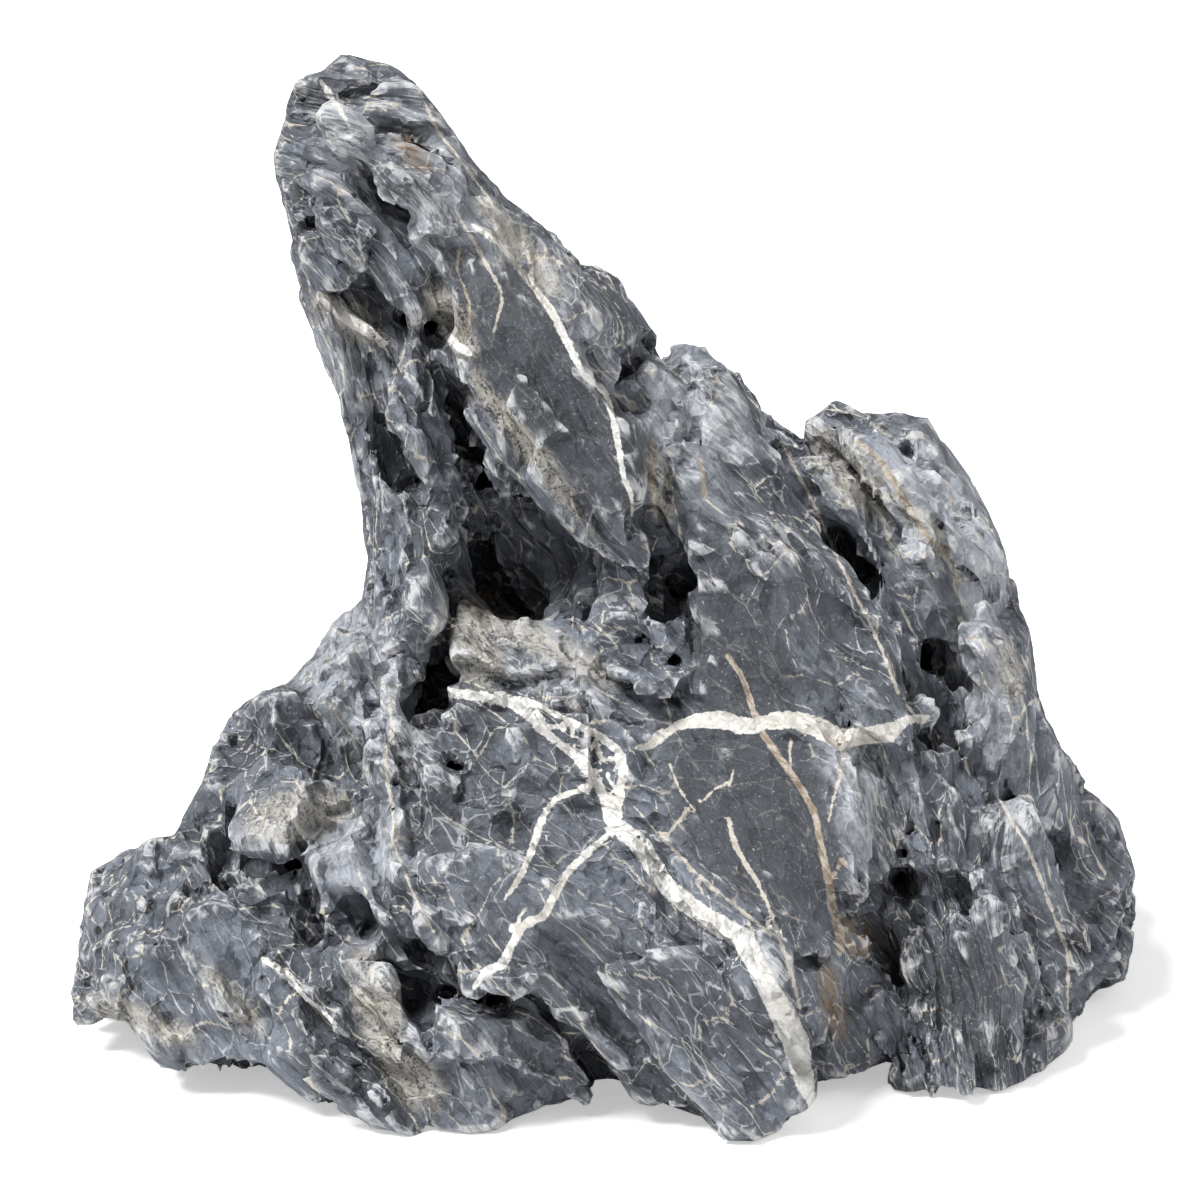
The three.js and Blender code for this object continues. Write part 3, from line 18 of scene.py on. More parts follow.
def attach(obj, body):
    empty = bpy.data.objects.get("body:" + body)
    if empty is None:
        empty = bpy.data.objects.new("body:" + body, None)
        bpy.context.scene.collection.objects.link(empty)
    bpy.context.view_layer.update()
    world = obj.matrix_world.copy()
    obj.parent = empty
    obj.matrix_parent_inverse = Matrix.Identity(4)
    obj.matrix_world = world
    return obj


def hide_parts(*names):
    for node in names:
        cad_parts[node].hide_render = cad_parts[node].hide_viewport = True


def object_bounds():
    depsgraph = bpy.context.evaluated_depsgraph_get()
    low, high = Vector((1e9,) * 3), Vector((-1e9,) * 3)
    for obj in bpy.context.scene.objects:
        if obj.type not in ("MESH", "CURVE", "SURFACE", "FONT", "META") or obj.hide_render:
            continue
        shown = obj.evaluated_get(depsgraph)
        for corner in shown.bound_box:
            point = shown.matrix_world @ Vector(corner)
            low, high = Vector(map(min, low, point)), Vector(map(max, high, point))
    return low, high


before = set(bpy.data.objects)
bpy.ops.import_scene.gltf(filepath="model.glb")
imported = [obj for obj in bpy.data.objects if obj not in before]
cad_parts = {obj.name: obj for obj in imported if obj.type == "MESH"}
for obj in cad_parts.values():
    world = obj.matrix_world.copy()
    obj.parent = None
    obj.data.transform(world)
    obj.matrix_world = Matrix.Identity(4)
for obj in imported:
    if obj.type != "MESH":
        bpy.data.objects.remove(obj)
CAD_LOW, CAD_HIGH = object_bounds()
MM = 0.001
NODE = "seiryu_stone"
for thing in bpy.context.selected_objects:
    thing.select_set(False)
print("CAD box, mm:", [round(v / MM, 1) for v in (*CAD_LOW, *CAD_HIGH)])

# %% [markdown]
# ## The viewpoint and the drawing sheet
# The veins and the large grooves are easiest to place the way a mason chalks them: standing in
# front of the stone. So the front is described on one upright sheet, in millimetres from its
# middle, seen from the eye point of the camera. A point on that sheet becomes a line that runs
# into the stone, as a real vein does. The camera stands at the same eye point.

# %% The viewpoint
GRID = np.array([-5.08, 2.29, 0.0])  # the drawing grid's origin in the row frame
EYE_HEIGHT = 103.0  # the height that the camera looks at
EYE_DISTANCE = 900.0
EYE_ELEVATION = math.radians(15)
FRAME_WIDTH = 300.0  # what the camera takes in at that distance
SENSOR = 36.0


def on_sheet(points):
    """Where points, in mm of the row frame, show on the upright sheet: right, up, and behind."""
    rel = points - GRID - np.array([0, 0, EYE_HEIGHT])
    behind = rel[:, 1] * math.cos(EYE_ELEVATION) - rel[:, 2] * math.sin(EYE_ELEVATION)
    up = rel[:, 1] * math.sin(EYE_ELEVATION) + rel[:, 2] * math.cos(EYE_ELEVATION)
    shrink = EYE_DISTANCE / (EYE_DISTANCE + behind)
    return np.column_stack([rel[:, 0] * shrink, up * shrink]), behind


target = Vector((*GRID[:2], EYE_HEIGHT)) * MM
towards_eye = Vector((0, -math.cos(EYE_ELEVATION), math.sin(EYE_ELEVATION)))
bpy.ops.object.camera_add(location=target + towards_eye * EYE_DISTANCE * MM)
camera = bpy.context.object
camera.rotation_mode = "QUATERNION"
camera.rotation_quaternion = (-towards_eye).to_track_quat("-Z", "Y")
camera.data.sensor_width = SENSOR
camera.data.lens = SENSOR * EYE_DISTANCE / FRAME_WIDTH
camera.data.clip_start = 0.01
bpy.context.scene.camera = camera
print("lens, mm:", round(camera.data.lens, 1))

# %% [markdown]
# ## The studio
# The stone stands on a white sweep under one broad lamp high on the left, so that its ledges
# throw short soft shadows to the right. The key lamp is a wide sun, because its light doesn't
# fall off and so leaves the floor even. A weak lamp on the right opens the shade. Floor and
# surround are brighter to the camera than they are as lights: a room that lit the stone as
# white as it looks would wash the hollows out.

# %% Floor and surround
FLOOR_WHITE = 0.94
FLOOR_LIFT = 0.45  # light that the floor adds where the camera sees it
SURROUND_LIGHT = 0.28  # how strongly the surround lights the stone


def seen_straight(tree):
    """1 where the camera looks at a thing itself, 0 for the light that it sends elsewhere."""
    return tree.nodes.new("ShaderNodeLightPath").outputs["Is Camera Ray"]


bpy.ops.mesh.primitive_plane_add(size=6, location=(0, 0, 0))
floor = bpy.context.object
floor.name = "floor"
floor_finish = bpy.data.materials.new("pale_floor")
floor_finish.use_nodes = True
tree = floor_finish.node_tree
paint = tree.nodes["Principled BSDF"].inputs
paint["Base Color"].default_value = (FLOOR_WHITE, FLOOR_WHITE, FLOOR_WHITE, 1)
paint["Roughness"].default_value = 0.9
paint["Emission Color"].default_value = (1, 1, 1, 1)
lift = tree.nodes.new("ShaderNodeMath")
lift.operation = "MULTIPLY"
lift.inputs[1].default_value = FLOOR_LIFT
tree.links.new(seen_straight(tree), lift.inputs[0])
tree.links.new(lift.outputs[0], paint["Emission Strength"])
floor.data.materials.append(floor_finish)

surround = bpy.data.worlds.new("surround")
surround.use_nodes = True
tree = surround.node_tree
sky = tree.nodes["Background"].inputs
sky["Color"].default_value = (1, 1, 1, 1)
glow = tree.nodes.new("ShaderNodeMapRange")
glow.inputs["To Min"].default_value = SURROUND_LIGHT
tree.links.new(seen_straight(tree), glow.inputs["Value"])
tree.links.new(glow.outputs["Result"], sky["Strength"])
bpy.context.scene.world = surround
bpy.context.scene.view_settings.view_transform = "Standard"
print("surround lights the stone at", SURROUND_LIGHT)

# %% [markdown]
# ### The lamps
# Both lamps are aimed at the middle of the stone. Only a sun's direction counts, so its place
# says where the light comes from.

# %% Lamps


def add_lamp(name, kind, place, energy):
    """A lamp at a place, in metres, that points at the middle of the stone."""
    bpy.ops.object.light_add(type=kind)
    lamp = bpy.context.object
    lamp.name = name
    lamp.data.energy = energy
    lamp.location = place
    lamp.rotation_mode = "QUATERNION"
    lamp.rotation_quaternion = (target - Vector(place)).to_track_quat("-Z", "Y")
    return lamp


key = add_lamp("key_lamp", "SUN", (-0.60, -0.30, 1.10), 4.6)
key.data.angle = math.radians(24)  # wide, for soft shadows
fill = add_lamp("right_lamp", "AREA", (0.9, -0.1, 0.6), 3)
fill.data.size = 0.5
print("lamps:", key.name, fill.name)

# %% [markdown]
# ## Noise to weather with
# Weathering has no pattern that can be drawn, but it has a scale and a direction. Two kinds of
# noise are enough: smooth noise, for gentle swelling, and cell noise, whose distance to the
# nearest seed point gives round bites that meet in sharp crests. Both are worked out from the
# position alone, so the stone comes out the same each time.

# %% Random bits for each cell


def shuffled(whole, seed):
    """Thirty-two repeatable random bits for each whole-number cell."""
    x, y, z = (whole[:, k].astype(np.int32).view(np.uint32) for k in range(3))
    mixed = x * np.uint32(0x8DA6B343) ^ y * np.uint32(0xD8163841) ^ z * np.uint32(0xCB1AB31F)
    mixed ^= np.uint32((seed * 0x9E3779B1) & 0xFFFFFFFF)
    mixed = (mixed ^ (mixed >> np.uint32(15))) * np.uint32(0x2C1B3C6D)
    mixed = (mixed ^ (mixed >> np.uint32(12))) * np.uint32(0x297A2D39)
    return mixed ^ (mixed >> np.uint32(15))


def share(bits, place):
    """Ten of the random bits as a number from 0 to 1."""
    return ((bits >> np.uint32(place)) & np.uint32(1023)).astype(np.float32) / 1023


# %% Smooth noise


def swell(points, size, seed):
    """Smooth noise from -1 to 1 with lumps of that size."""
    q = points / np.float32(size)
    base = np.floor(q)
    t = q - base
    t = t * t * (3 - 2 * t)
    total = np.zeros(len(q), np.float32)
    for corner in np.ndindex(2, 2, 2):
        weight = np.ones(len(q), np.float32)
        for k in range(3):
            weight *= t[:, k] if corner[k] else 1 - t[:, k]
        total += weight * share(shuffled(base + np.float32(corner), seed), 0)
    return total * 2 - 1


def rough(points, size, octaves, seed):
    """Smooth noise at several sizes, each half as large and half as strong."""
    total = np.zeros(len(points), np.float32)
    for k in range(octaves):
        total += swell(points, size / 2**k, seed + k) * 0.5**k
    return total


# %% Cell noise
SEED_ROOM = 0.7  # seed points keep to the middle of their cell, this share of its width


def cells(points, size, seed):
    """How far, in cells, the nearest seed point is, a number for its cell, and the way from it."""
    q = points / np.float32(size)
    base = np.floor(q - 0.5)
    nearest = np.full(len(q), 9.0, np.float32)
    name = np.zeros(len(q), np.float32)
    offset = np.zeros((len(q), 3), np.float32)
    for step in np.ndindex(2, 2, 2):
        cell = base + np.float32(step)
        bits = shuffled(cell, seed)
        away = q - cell - np.float32((1 - SEED_ROOM) / 2)
        for k in range(3):
            away[:, k] -= SEED_ROOM * share(bits, 10 * k)
        length = (away * away).sum(1)
        nearer = length < nearest
        nearest = np.where(nearer, length, nearest)
        name[nearer] = share(bits, 5)[nearer]
        offset[nearer] = away[nearer]
    return np.sqrt(nearest), name, offset


def ramp(value, low, high):
    """0 below low, 1 above high, and smooth between."""
    t = np.clip((value - low) / (high - low), 0, 1)
    return t * t * (3 - 2 * t)


probe = np.arange(3000, dtype=np.float32).reshape(-1, 3)
print("smooth noise runs from", *np.round([swell(probe, 30, 1).min(), swell(probe, 30, 1).max()], 2))

# %% [markdown]
# ## The grain
# The limestone was laid down in thin sheets that were later tilted and folded, so all its
# flutes and streaks lean the same way. The grain below gives each point of the stone its place
# across and along the sheets. Everything that follows the layers uses it.

# %% The direction of the layers
GRAIN_LEAN = 0.62  # radians from upright, the top leaning left
GRAIN_FOLD = 0.30  # how far the lean wanders from fold to fold
FOLD_SIZE = 85
BLOCK_STEEPER = 0.35  # radians less lean at the right block's foot
GRAIN_DIP = 0.45  # radians that the sheets tip towards the front
GRAIN_STRETCH = 2.2  # bites are this much longer along the layers
LAYER_WANDER = 2.5  # how far a layer strays from its plane


def grain_of(points):
    """Where points lie across the layers, sideways, and along them, in mm."""
    lean = GRAIN_LEAN + GRAIN_FOLD * swell(points, FOLD_SIZE, 11)
    at_block = ramp(points[:, 0], 60, 100) * ramp(-points[:, 2], -90, -40)
    lean = lean - BLOCK_STEEPER * at_block
    x, y, z = points[:, 0], points[:, 1], points[:, 2] - np.float32(EYE_HEIGHT)
    side = x * np.cos(lean) + z * np.sin(lean)
    along = -x * np.sin(lean) + z * np.cos(lean)
    across = side * math.cos(GRAIN_DIP) - y * math.sin(GRAIN_DIP)
    cross = side * math.sin(GRAIN_DIP) + y * math.cos(GRAIN_DIP)
    grain = np.column_stack([across, cross, along / GRAIN_STRETCH]).astype(np.float32)
    for k in range(3):
        grain[:, k] += LAYER_WANDER * rough(points, 26, 2, 21 + 7 * k)
    return grain


print("layers lean", round(math.degrees(GRAIN_LEAN)), "degrees, give or take a fold")

# %% [markdown]
# ## The stone as a field
# Relief that is pushed out of a skin along its normals goes soft and tears at overhangs. So the
# solid is turned into a field first: a grid of small cubes, each of which knows how far it is
# from the solid's surface, below zero inside. Carving is then plain arithmetic on the field,
# and it may undercut, split and meet in sharp edges. The new skin is wrapped at the end.

# %% Lay out the grid
VOXEL = 1.2  # the finished cubes' size
MARGIN = 7.0  # air around the solid
NUDGE = 0.0037  # keeps plumb lines off the solid's corners

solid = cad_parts[NODE].data
corners = np.empty(len(solid.vertices) * 3, np.float32)
solid.vertices.foreach_get("co", corners)
corners = corners.reshape(-1, 3) / MM
triangles = [tuple(face.vertices) for face in solid.polygons]
solid_tree = BVHTree.FromPolygons([Vector(c) for c in corners], triangles)

coarse = 2 * VOXEL
field_low = np.array(CAD_LOW) / MM - MARGIN
counts = np.ceil((np.array(CAD_HIGH) / MM + MARGIN - field_low) / coarse).astype(int) + 1
axes = [field_low[k] + NUDGE + coarse * np.arange(counts[k]) for k in range(3)]
print("coarse grid:", *counts)

# %% [markdown]
# ### Stone or air
# A plumb line that comes up from below goes into the stone at every odd crossing and out again
# at every even one. Where it brushes an edge the count comes out odd, and the line is moved a
# hair and tried again.

# %% Tell stone from air


def crossings(start):
    """The heights at which a plumb line from below passes through the solid's surface."""
    found = []
    up = Vector((0, 0, 1))
    while True:
        hit = solid_tree.ray_cast(start, up)[0]
        if hit is None:
            return found
        found.append(hit.z)
        start = hit + up * 0.001


inside = np.zeros(counts, bool)
for i, x in enumerate(axes[0]):
    for j, y in enumerate(axes[1]):
        flips = [0]
        while len(flips) % 2:
            flips = crossings(Vector((x, y, field_low[2] - 1)))
            x, y = x + 0.003, y + 0.002
        inside[i, j] = np.searchsorted(flips, axes[2]) % 2 == 1
print("solid fills", round(float(inside.sum()) * coarse**3 / 1e6, 2), "litres")

# %% [markdown]
# ### How far to the surface
# Only cubes that the weather can reach need a distance. They are found by growing outwards from
# each change between stone and air, and the pits need a wider band inside than outside.

# %% Measure the distances
BAND = 5.5  # the weather reaches this far from the surface
REACH = 13.0  # and the deepest pits this far

near = np.zeros(counts, bool)
for k in range(3):
    first = [slice(None)] * 3
    second = [slice(None)] * 3
    first[k], second[k] = slice(None, -1), slice(1, None)
    change = inside[tuple(first)] != inside[tuple(second)]
    near[tuple(first)] |= change
    near[tuple(second)] |= change
for depth in np.arange(0, REACH + 1, coarse):
    grown = near.copy()
    for k in range(3):
        grown |= np.roll(near, 1, k) | np.roll(near, -1, k)
    near = grown if depth < BAND + 1 else near | (grown & inside)

FAR = REACH + 3
distance = np.where(inside, -FAR, FAR).astype(np.float32)
for i, j, k in np.argwhere(near):
    spot = Vector((axes[0][i], axes[1][j], axes[2][k]))
    found = solid_tree.find_nearest(spot, FAR)[3]
    if found is not None:
        distance[i, j, k] = -found if inside[i, j, k] else found
print("coarse cubes measured:", int(near.sum()))

# %% [markdown]
# ### A finer grid
# The distances were measured on cubes twice as wide as the finished ones, which is eight times
# quicker. Between two measured cubes the distance hardly bends, so halfway is near enough.

# %% Make the grid finer


def doubled(values):
    """The same field on a grid twice as fine, by halving between neighbours."""
    for k in range(3):
        values = np.moveaxis(values, k, 0)
        finer = np.empty((2 * len(values) - 1, *values.shape[1:]), np.float32)
        finer[::2] = values
        finer[1::2] = (values[:-1] + values[1:]) / 2
        values = np.moveaxis(finer, 0, k)
    return values


field = doubled(distance)
print("grid:", field.shape, "cubes near the surface:", int((np.abs(field) < BAND).sum()))

# %% [markdown]
# ## Lines and patches on the sheet
# Gullies, ribs and veins are broken lines on the sheet, and cleaved faces, scoops and stains
# are ovals. Two measures serve them all: how far a point is from a line, and where it lies in
# an oval.

# %% Measure from a line and an oval


def line_distance(flat, line):
    """The way from a broken line to points on the sheet, its length, and the line's value there."""
    line = np.array(line, np.float32)
    best = np.full(len(flat), 1e9, np.float32)
    offset = np.zeros((len(flat), 2), np.float32)
    value = np.zeros(len(flat), np.float32)
    for start, end in zip(line[:-1], line[1:]):
        run = end[:2] - start[:2]
        t = np.clip(((flat - start[:2]) @ run) / max(run @ run, 1e-6), 0, 1)
        away = flat - start[:2] - t[:, None] * run
        size = np.hypot(away[:, 0], away[:, 1])
        nearer = size < best
        best = np.where(nearer, size, best)
        offset = np.where(nearer[:, None], away, offset)
        value = np.where(nearer, start[2] + t * (end[2] - start[2]), value)
    return offset, best, value


def in_oval(flat, right, up, long, short, turn):
    """Where points lie along and across a turned oval, whose edge is 1 from its middle."""
    c, s = math.cos(math.radians(turn)), math.sin(math.radians(turn))
    dx, dy = flat[:, 0] - right, flat[:, 1] - up
    return (dx * c + dy * s) / long, (-dx * s + dy * c) / short


def patch(flat, spots):
    """1 inside oval patches on the sheet, falling to 0 around them."""
    found = np.zeros(len(flat), np.float32)
    for spot in spots:
        away = np.hypot(*in_oval(flat, *spot))
        found = np.maximum(found, 1 - ramp(away, 0.75, 1.2))
    return found


def facing_eye(directions, behind, low):
    """1 on what the eye can see, 0 on what faces away or lies at the back of the stone."""
    towards = np.array(towards_eye, np.float32)
    return ramp(directions @ towards, low, 0.15) * ramp(-behind, -60, -40)


# %% [markdown]
# ### Cleaved faces
# Where a slab broke off not long ago the stone is flat, dark and hardly weathered. Other faces
# are only calmer than the rest.

# %% Cleaved and calm faces
# Right, up, half length, half width, turn in degrees.
FRESH = [
    (-18, 58, 36, 15, -56),
    (-2, 40, 20, 12, -50),
    (38, -52, 30, 20, -60),
    (34, -14, 24, 12, -60),
    (92, -96, 14, 9, -80),
]
CALM = [
    (-20, -62, 34, 24, -30), (-1, -90, 30, 14, -10), (45, 0, 34, 12, -58), (-35, 104, 26, 12, -45),
]
print("cleaved faces:", len(FRESH), "calm faces:", len(CALM))

# %% [markdown]
# ## Gullies, ribs and scoops
# The large hollows and edges of the stone are its likeness, so they are placed one by one: each
# gully and rib is a line on the sheet with its half width, and each scoop is an oval. They are
# cut straight into the field, a little wavy, and only on what the eye can see. The lists go
# from the top down. The spire comes first: a notched head, a long gully down its middle, ribs
# at its left edge, and a flat lit plate with a band beside it.

# %% Strokes of the spire
# Depth in mm (below 0 for a rib), steepness of the walls, then right, up and half width.
SPIRE = [
    # the spire's head
    (4, 1, [(-70, 129, 2), (-67, 123, 2), (-63, 119, 2), (-58, 115, 2), (-52, 118, 2), (-45, 115, 2)]),
    (-2, 1, [(-71, 118, 3), (-67, 122, 3), (-59, 114, 3), (-56, 107, 3)]),
    (7, 1.5, [(-61, 112, 3), (-57, 108, 4), (-54, 103, 5), (-51, 97, 5), (-50, 89, 4), (-45, 83, 4),
              (-41, 74, 4), (-42, 66, 3)]),
    (-3, 1, [(-56, 110, 3), (-50, 102, 4), (-47, 94, 4), (-46, 88, 3), (-40, 82, 3), (-37, 74, 3)]),
    (-3, 1, [(-70, 98, 3), (-61, 91, 3), (-54, 85, 3), (-50, 80, 2)]),
    (3, 1, [(-72, 94, 3), (-64, 87, 3), (-57, 80, 3)]),
    (7, 2, [(-62, 79, 2), (-57, 74, 4), (-51, 69, 4), (-49, 66, 2)]),
    (-3, 1, [(-70, 76, 3), (-64, 71, 4), (-59, 68, 4), (-52, 64, 3)]),
    # the lit plate and the band beside it
    (3, 1, [(-37, 80, 2), (-36, 88, 3), (-30, 89, 3), (-24, 86, 3), (-18, 80, 3), (-13, 73, 3),
            (-9, 64, 2)]),
    (-2, 1, [(-34, 92, 3), (-27, 90, 3), (-20, 85, 3), (-14, 78, 3), (-9, 68, 3), (-5, 58, 3)]),
    (3, 1, [(-36, 84, 2), (-33, 76, 2), (-32, 70, 2), (-35, 65, 2), (-31, 57, 2), (-24, 46, 2),
            (-16, 35, 2)]),
    (-2, 1, [(-38, 66, 2), (-33, 53, 2), (-26, 42, 2), (-20, 34, 2)]),
    (4, 1.5, [(-29, 42, 2), (-22, 34, 2), (-18, 27, 2), (-12, 21, 2)]),
]
print("strokes of the spire:", len(SPIRE))

# %% [markdown]
# ### The left leg and the cave
# The spire stands on a thin leg that slits have nearly cut through. Right of it is the cave,
# with a saddle of stone as its sill and thin curtains hanging at its right.

# %% Strokes of the leg and the cave
LEG = [
    # the slits and the dark channel of the left leg
    (13, 2, [(-40, 55, 1), (-37, 48, 4), (-33, 41, 4), (-31, 35, 3)]),
    (11, 2, [(-53, 43, 1), (-51, 38, 3), (-47, 32, 3), (-44, 26, 2)]),
    (12, 2, [(-32, 38, 2), (-28, 29, 4), (-27, 23, 4), (-28, 15, 5), (-30, 7, 4), (-29, 3, 2)]),
    (-3, 1, [(-47, 44, 2), (-43, 36, 2), (-38, 30, 2), (-36, 22, 2), (-40, 14, 2)]),
    (3, 1, [(-58, 24, 2), (-53, 14, 2), (-51, 4, 2), (-49, -6, 2)]),
    (-2, 1, [(-54, 30, 2), (-50, 18, 2), (-47, 6, 2), (-45, -4, 2)]),
    (6, 1.5, [(-38, 9, 2), (-38, -2, 2), (-39, -9, 2)]),
    (12, 2, [(-39, -9, 2), (-39, -17, 3), (-42, -24, 4), (-47, -28, 3)]),
    (4, 1, [(-62, 0, 2), (-57, -8, 2), (-55, -18, 2), (-57, -28, 2)]),
    (3, 1, [(-73, -22, 3), (-70, -32, 3), (-66, -42, 3)]),
    # the saddle under the cave
    (-3, 1, [(-38, 2, 4), (-30, -2, 4), (-16, -9, 4), (1, -16, 3), (14, -19, 2)]),
    # beside and behind the curtains
    (12, 2, [(12, 21, 2), (17, 14, 3), (19, 5, 4), (17, -3, 3)]),
    (12, 2, [(2, -10, 2), (9, -12, 3), (17, -17, 4)]),
]
print("strokes of the leg and the cave:", len(LEG))

# %% [markdown]
# ### The long ridge and the right peak
# One crest runs from the notch behind the spire down to the right, with a gully along it and
# folds on its left. The second peak stands behind it, in upright leaves.

# %% Strokes of the ridge and the peak
RIDGE = [
    # the notch and the long ridge
    (8, 1.5, [(0, 64, 2), (4, 57, 4), (8, 52, 4), (10, 48, 2)]),
    (-3, 1, [(10, 63, 3), (14, 61, 3), (19, 59, 3), (26, 57, 3), (31, 53, 3), (36, 46, 3), (40, 36, 3),
             (51, 26, 3), (56, 17, 3), (63, 3, 3), (70, -12, 3), (75, -24, 3)]),
    (6, 1.5, [(36, 51, 2), (41, 42, 3), (48, 34, 3), (54, 27, 3), (59, 18, 3), (66, 5, 3), (72, -8, 2)]),
    (3, 1, [(13, 56, 2), (14, 47, 2), (14, 36, 2), (18, 28, 2)]),
    (-2, 1, [(16, 50, 2), (18, 40, 2), (21, 28, 3), (22, 14, 3)]),
    (-2, 1, [(24, 36, 2), (27, 30, 2), (30, 24, 2), (38, 20, 2), (44, 18, 2)]),
    # the right peak
    (8, 2, [(57, 16, 2), (61, 12, 3), (64, 7, 3), (66, 2, 2)]),
    (-3, 1, [(56, 30, 2), (62, 23, 3), (67, 14, 3), (73, 4, 3), (77, -5, 3), (76, -11, 2)]),
    (6, 2, [(68, 2, 2), (73, -8, 2), (76, -13, 2)]),
    (-2, 1, [(64, 40, 2), (70, 35, 2), (76, 27, 2), (81, 18, 2), (87, 12, 2), (90, 4, 2)]),
    (3, 1, [(60, 38, 2), (66, 33, 2), (71, 26, 2), (76, 18, 2), (82, 8, 2)]),
    (3, 1, [(76, 38, 2), (82, 29, 2), (87, 20, 2), (91, 11, 2), (95, 5, 2)]),
    (-2, 1, [(82, 38, 2), (89, 30, 2), (95, 18, 2), (98, 8, 2), (100, 0, 2)]),
    (11, 2, [(85, -12, 3), (89, -19, 6), (92, -25, 4)]),
    (8, 2, [(75, -16, 2), (77, -23, 3)]),
    (-3, 1, [(85, -2, 2), (89, 0, 2), (93, -6, 2), (94, -18, 3), (98, -26, 3)]),
]
print("strokes of the ridge and the peak:", len(RIDGE))

# %% [markdown]
# ### The right block and the dark face
# The block at the lower right has a fin on its outside and an alcove under a lip. The dark face
# left of it is nearly flat, so it has only a few marks.

# %% Strokes of the block and the face
BLOCK = [
    # the seam, the fin and the right block
    (4, 1.5, [(81, -35, 2), (88, -42, 2), (96, -48, 2), (101, -52, 2)]),
    (-3, 1, [(100, -50, 2), (106, -56, 3), (107, -65, 3), (112, -75, 3), (117, -86, 3), (119, -95, 2),
             (118, -102, 2)]),
    (8, 1.5, [(110, -59, 3), (116, -69, 4), (120, -78, 4), (124, -86, 3)]),
    (5, 1.5, [(108, -80, 2), (111, -90, 2), (112, -103, 2)]),
    (-2, 1, [(104, -75, 2), (107, -81, 3), (108, -90, 3), (107, -99, 3), (107, -115, 3)]),
    (-3, 1, [(60, -72, 3), (73, -67, 3), (77, -65, 2), (86, -68, 2), (94, -72, 2)]),
    (3, 1.5, [(64, -79, 3), (74, -73, 4), (80, -71, 4), (89, -74, 3)]),
    (-2, 1, [(83, -71, 2), (83, -77, 2), (79, -81, 2), (77, -92, 2), (79, -103, 2)]),
    (-2, 1, [(94, -72, 2), (86, -77, 2), (79, -81, 2)]),
    (3, 1.5, [(70, -82, 4), (72, -92, 4), (74, -100, 3)]),
    # the dark face and its corner
    (2, 1, [(20, -34, 2), (36, -35, 2), (50, -36, 2)]),
    (5, 1, [(47, -90, 3), (52, -91, 4), (56, -90, 2)]),
    (-2, 1, [(55, -92, 2), (57, -101, 3), (58, -109, 2)]),
]
print("strokes of the block and the face:", len(BLOCK))

# %% [markdown]
# ### The boulder and the left lobe
# A rounded boulder bulges out in front, edged by a ridge and a gully on its left. The lobe at
# the far left is low and stepped.

# %% Strokes of the boulder and the lobe
BOULDER = [
    # the middle boulder
    (3, 1.3, [(-37, -40, 2), (-36, -42, 3)]),
    (-5, 1, [(-57, -32, 5), (-55, -46, 5)]),
    (-5, 1, [(-53, -20, 2), (-52, -32, 3), (-54, -39, 3), (-52, -51, 3), (-52, -62, 3), (-47, -73, 3),
             (-41, -84, 3)]),
    (5, 1, [(-60, -36, 2), (-60, -48, 3), (-59, -60, 3), (-54, -72, 3), (-49, -80, 3)]),
    (6, 1.5, [(-49, -73, 2), (-43, -84, 2), (-38, -95, 2), (-36, -101, 2)]),
    (-2, 1, [(-41, -66, 3), (-30, -68, 3), (-24, -75, 3)]),
    (-3, 1, [(-33, -97, 3), (-27, -94, 3), (-20, -96, 3), (-14, -92, 3), (-9, -96, 3), (-3, -104, 3),
             (2, -111, 3), (5, -115, 3)]),
    (4, 1.5, [(-36, -103, 2), (-27, -100, 3), (-20, -101, 3), (-14, -102, 2)]),
    (7, 2, [(-14, -104, 2), (-7, -109, 2), (-2, -116, 3), (2, -124, 3)]),
    # the left lobe
    (5, 1, [(-129, -85, 3), (-124, -80, 4), (-116, -78, 4), (-107, -77, 4), (-99, -73, 4), (-92, -71, 4),
            (-82, -77, 3)]),
    (5, 2, [(-81, -74, 3), (-78, -76, 3)]),
    (-2, 1, [(-65, -62, 3), (-59, -73, 4), (-55, -81, 4), (-56, -88, 3)]),
    (5, 1, [(-69, -73, 5), (-63, -77, 6), (-58, -84, 5)]),
    (-3, 1, [(-74, -72, 3), (-82, -81, 3), (-87, -83, 3), (-90, -86, 3)]),
    (-2, 1, [(-124, -81, 3), (-123, -92, 3), (-119, -101, 3), (-110, -108, 3), (-88, -113, 3)]),
    (-2, 1, [(-95, -94, 3), (-94, -103, 3), (-88, -111, 3)]),
    (-2, 1, [(-84, -90, 3), (-74, -99, 3), (-65, -105, 3)]),
    (5, 1, [(-51, -86, 6), (-46, -95, 7), (-43, -103, 5)]),
    (-2, 1, [(-75, -98, 3), (-67, -104, 3), (-59, -114, 3), (-54, -124, 3)]),
]
STROKES = SPIRE + LEG + RIDGE + BLOCK + BOULDER
print("strokes in all:", len(STROKES))

# %% [markdown]
# ### Scoops
# Where water stood or ran down a face, it left single bowls. They are ovals with round floors.

# %% Scoops
# Depth in mm, then right, up, half length, half width, turn in degrees.
SCOOPS = [
    (3, -47, 112, 6, 3, -45),
    (11, -12, 12, 17, 10, -58),
    (7, -21, -1, 8, 6, -20),
    (4, 36, 27, 9, 4, -50),
    (3, 77, 4, 7, 4, -30),
    (4, 99, -4, 5, 4, 60),
    (4, 83, -59, 7, 3, -65),
    (3, 79, -38, 7, 4, -80),
    (3, -33, -53, 8, 7, 0),
    (4, -84, -67, 8, 6, -20),
    (4, -73, -89, 9, 5, -15),
    (3, -110, -96, 12, 6, -20),
    (3, -112, -71, 8, 5, -10),
    (3, -20, -58, 8, 5, -70),
    (3, -8, -86, 12, 6, 10),
    (3, 92, -98, 8, 12, 0),
]
print("scoops:", len(SCOOPS))

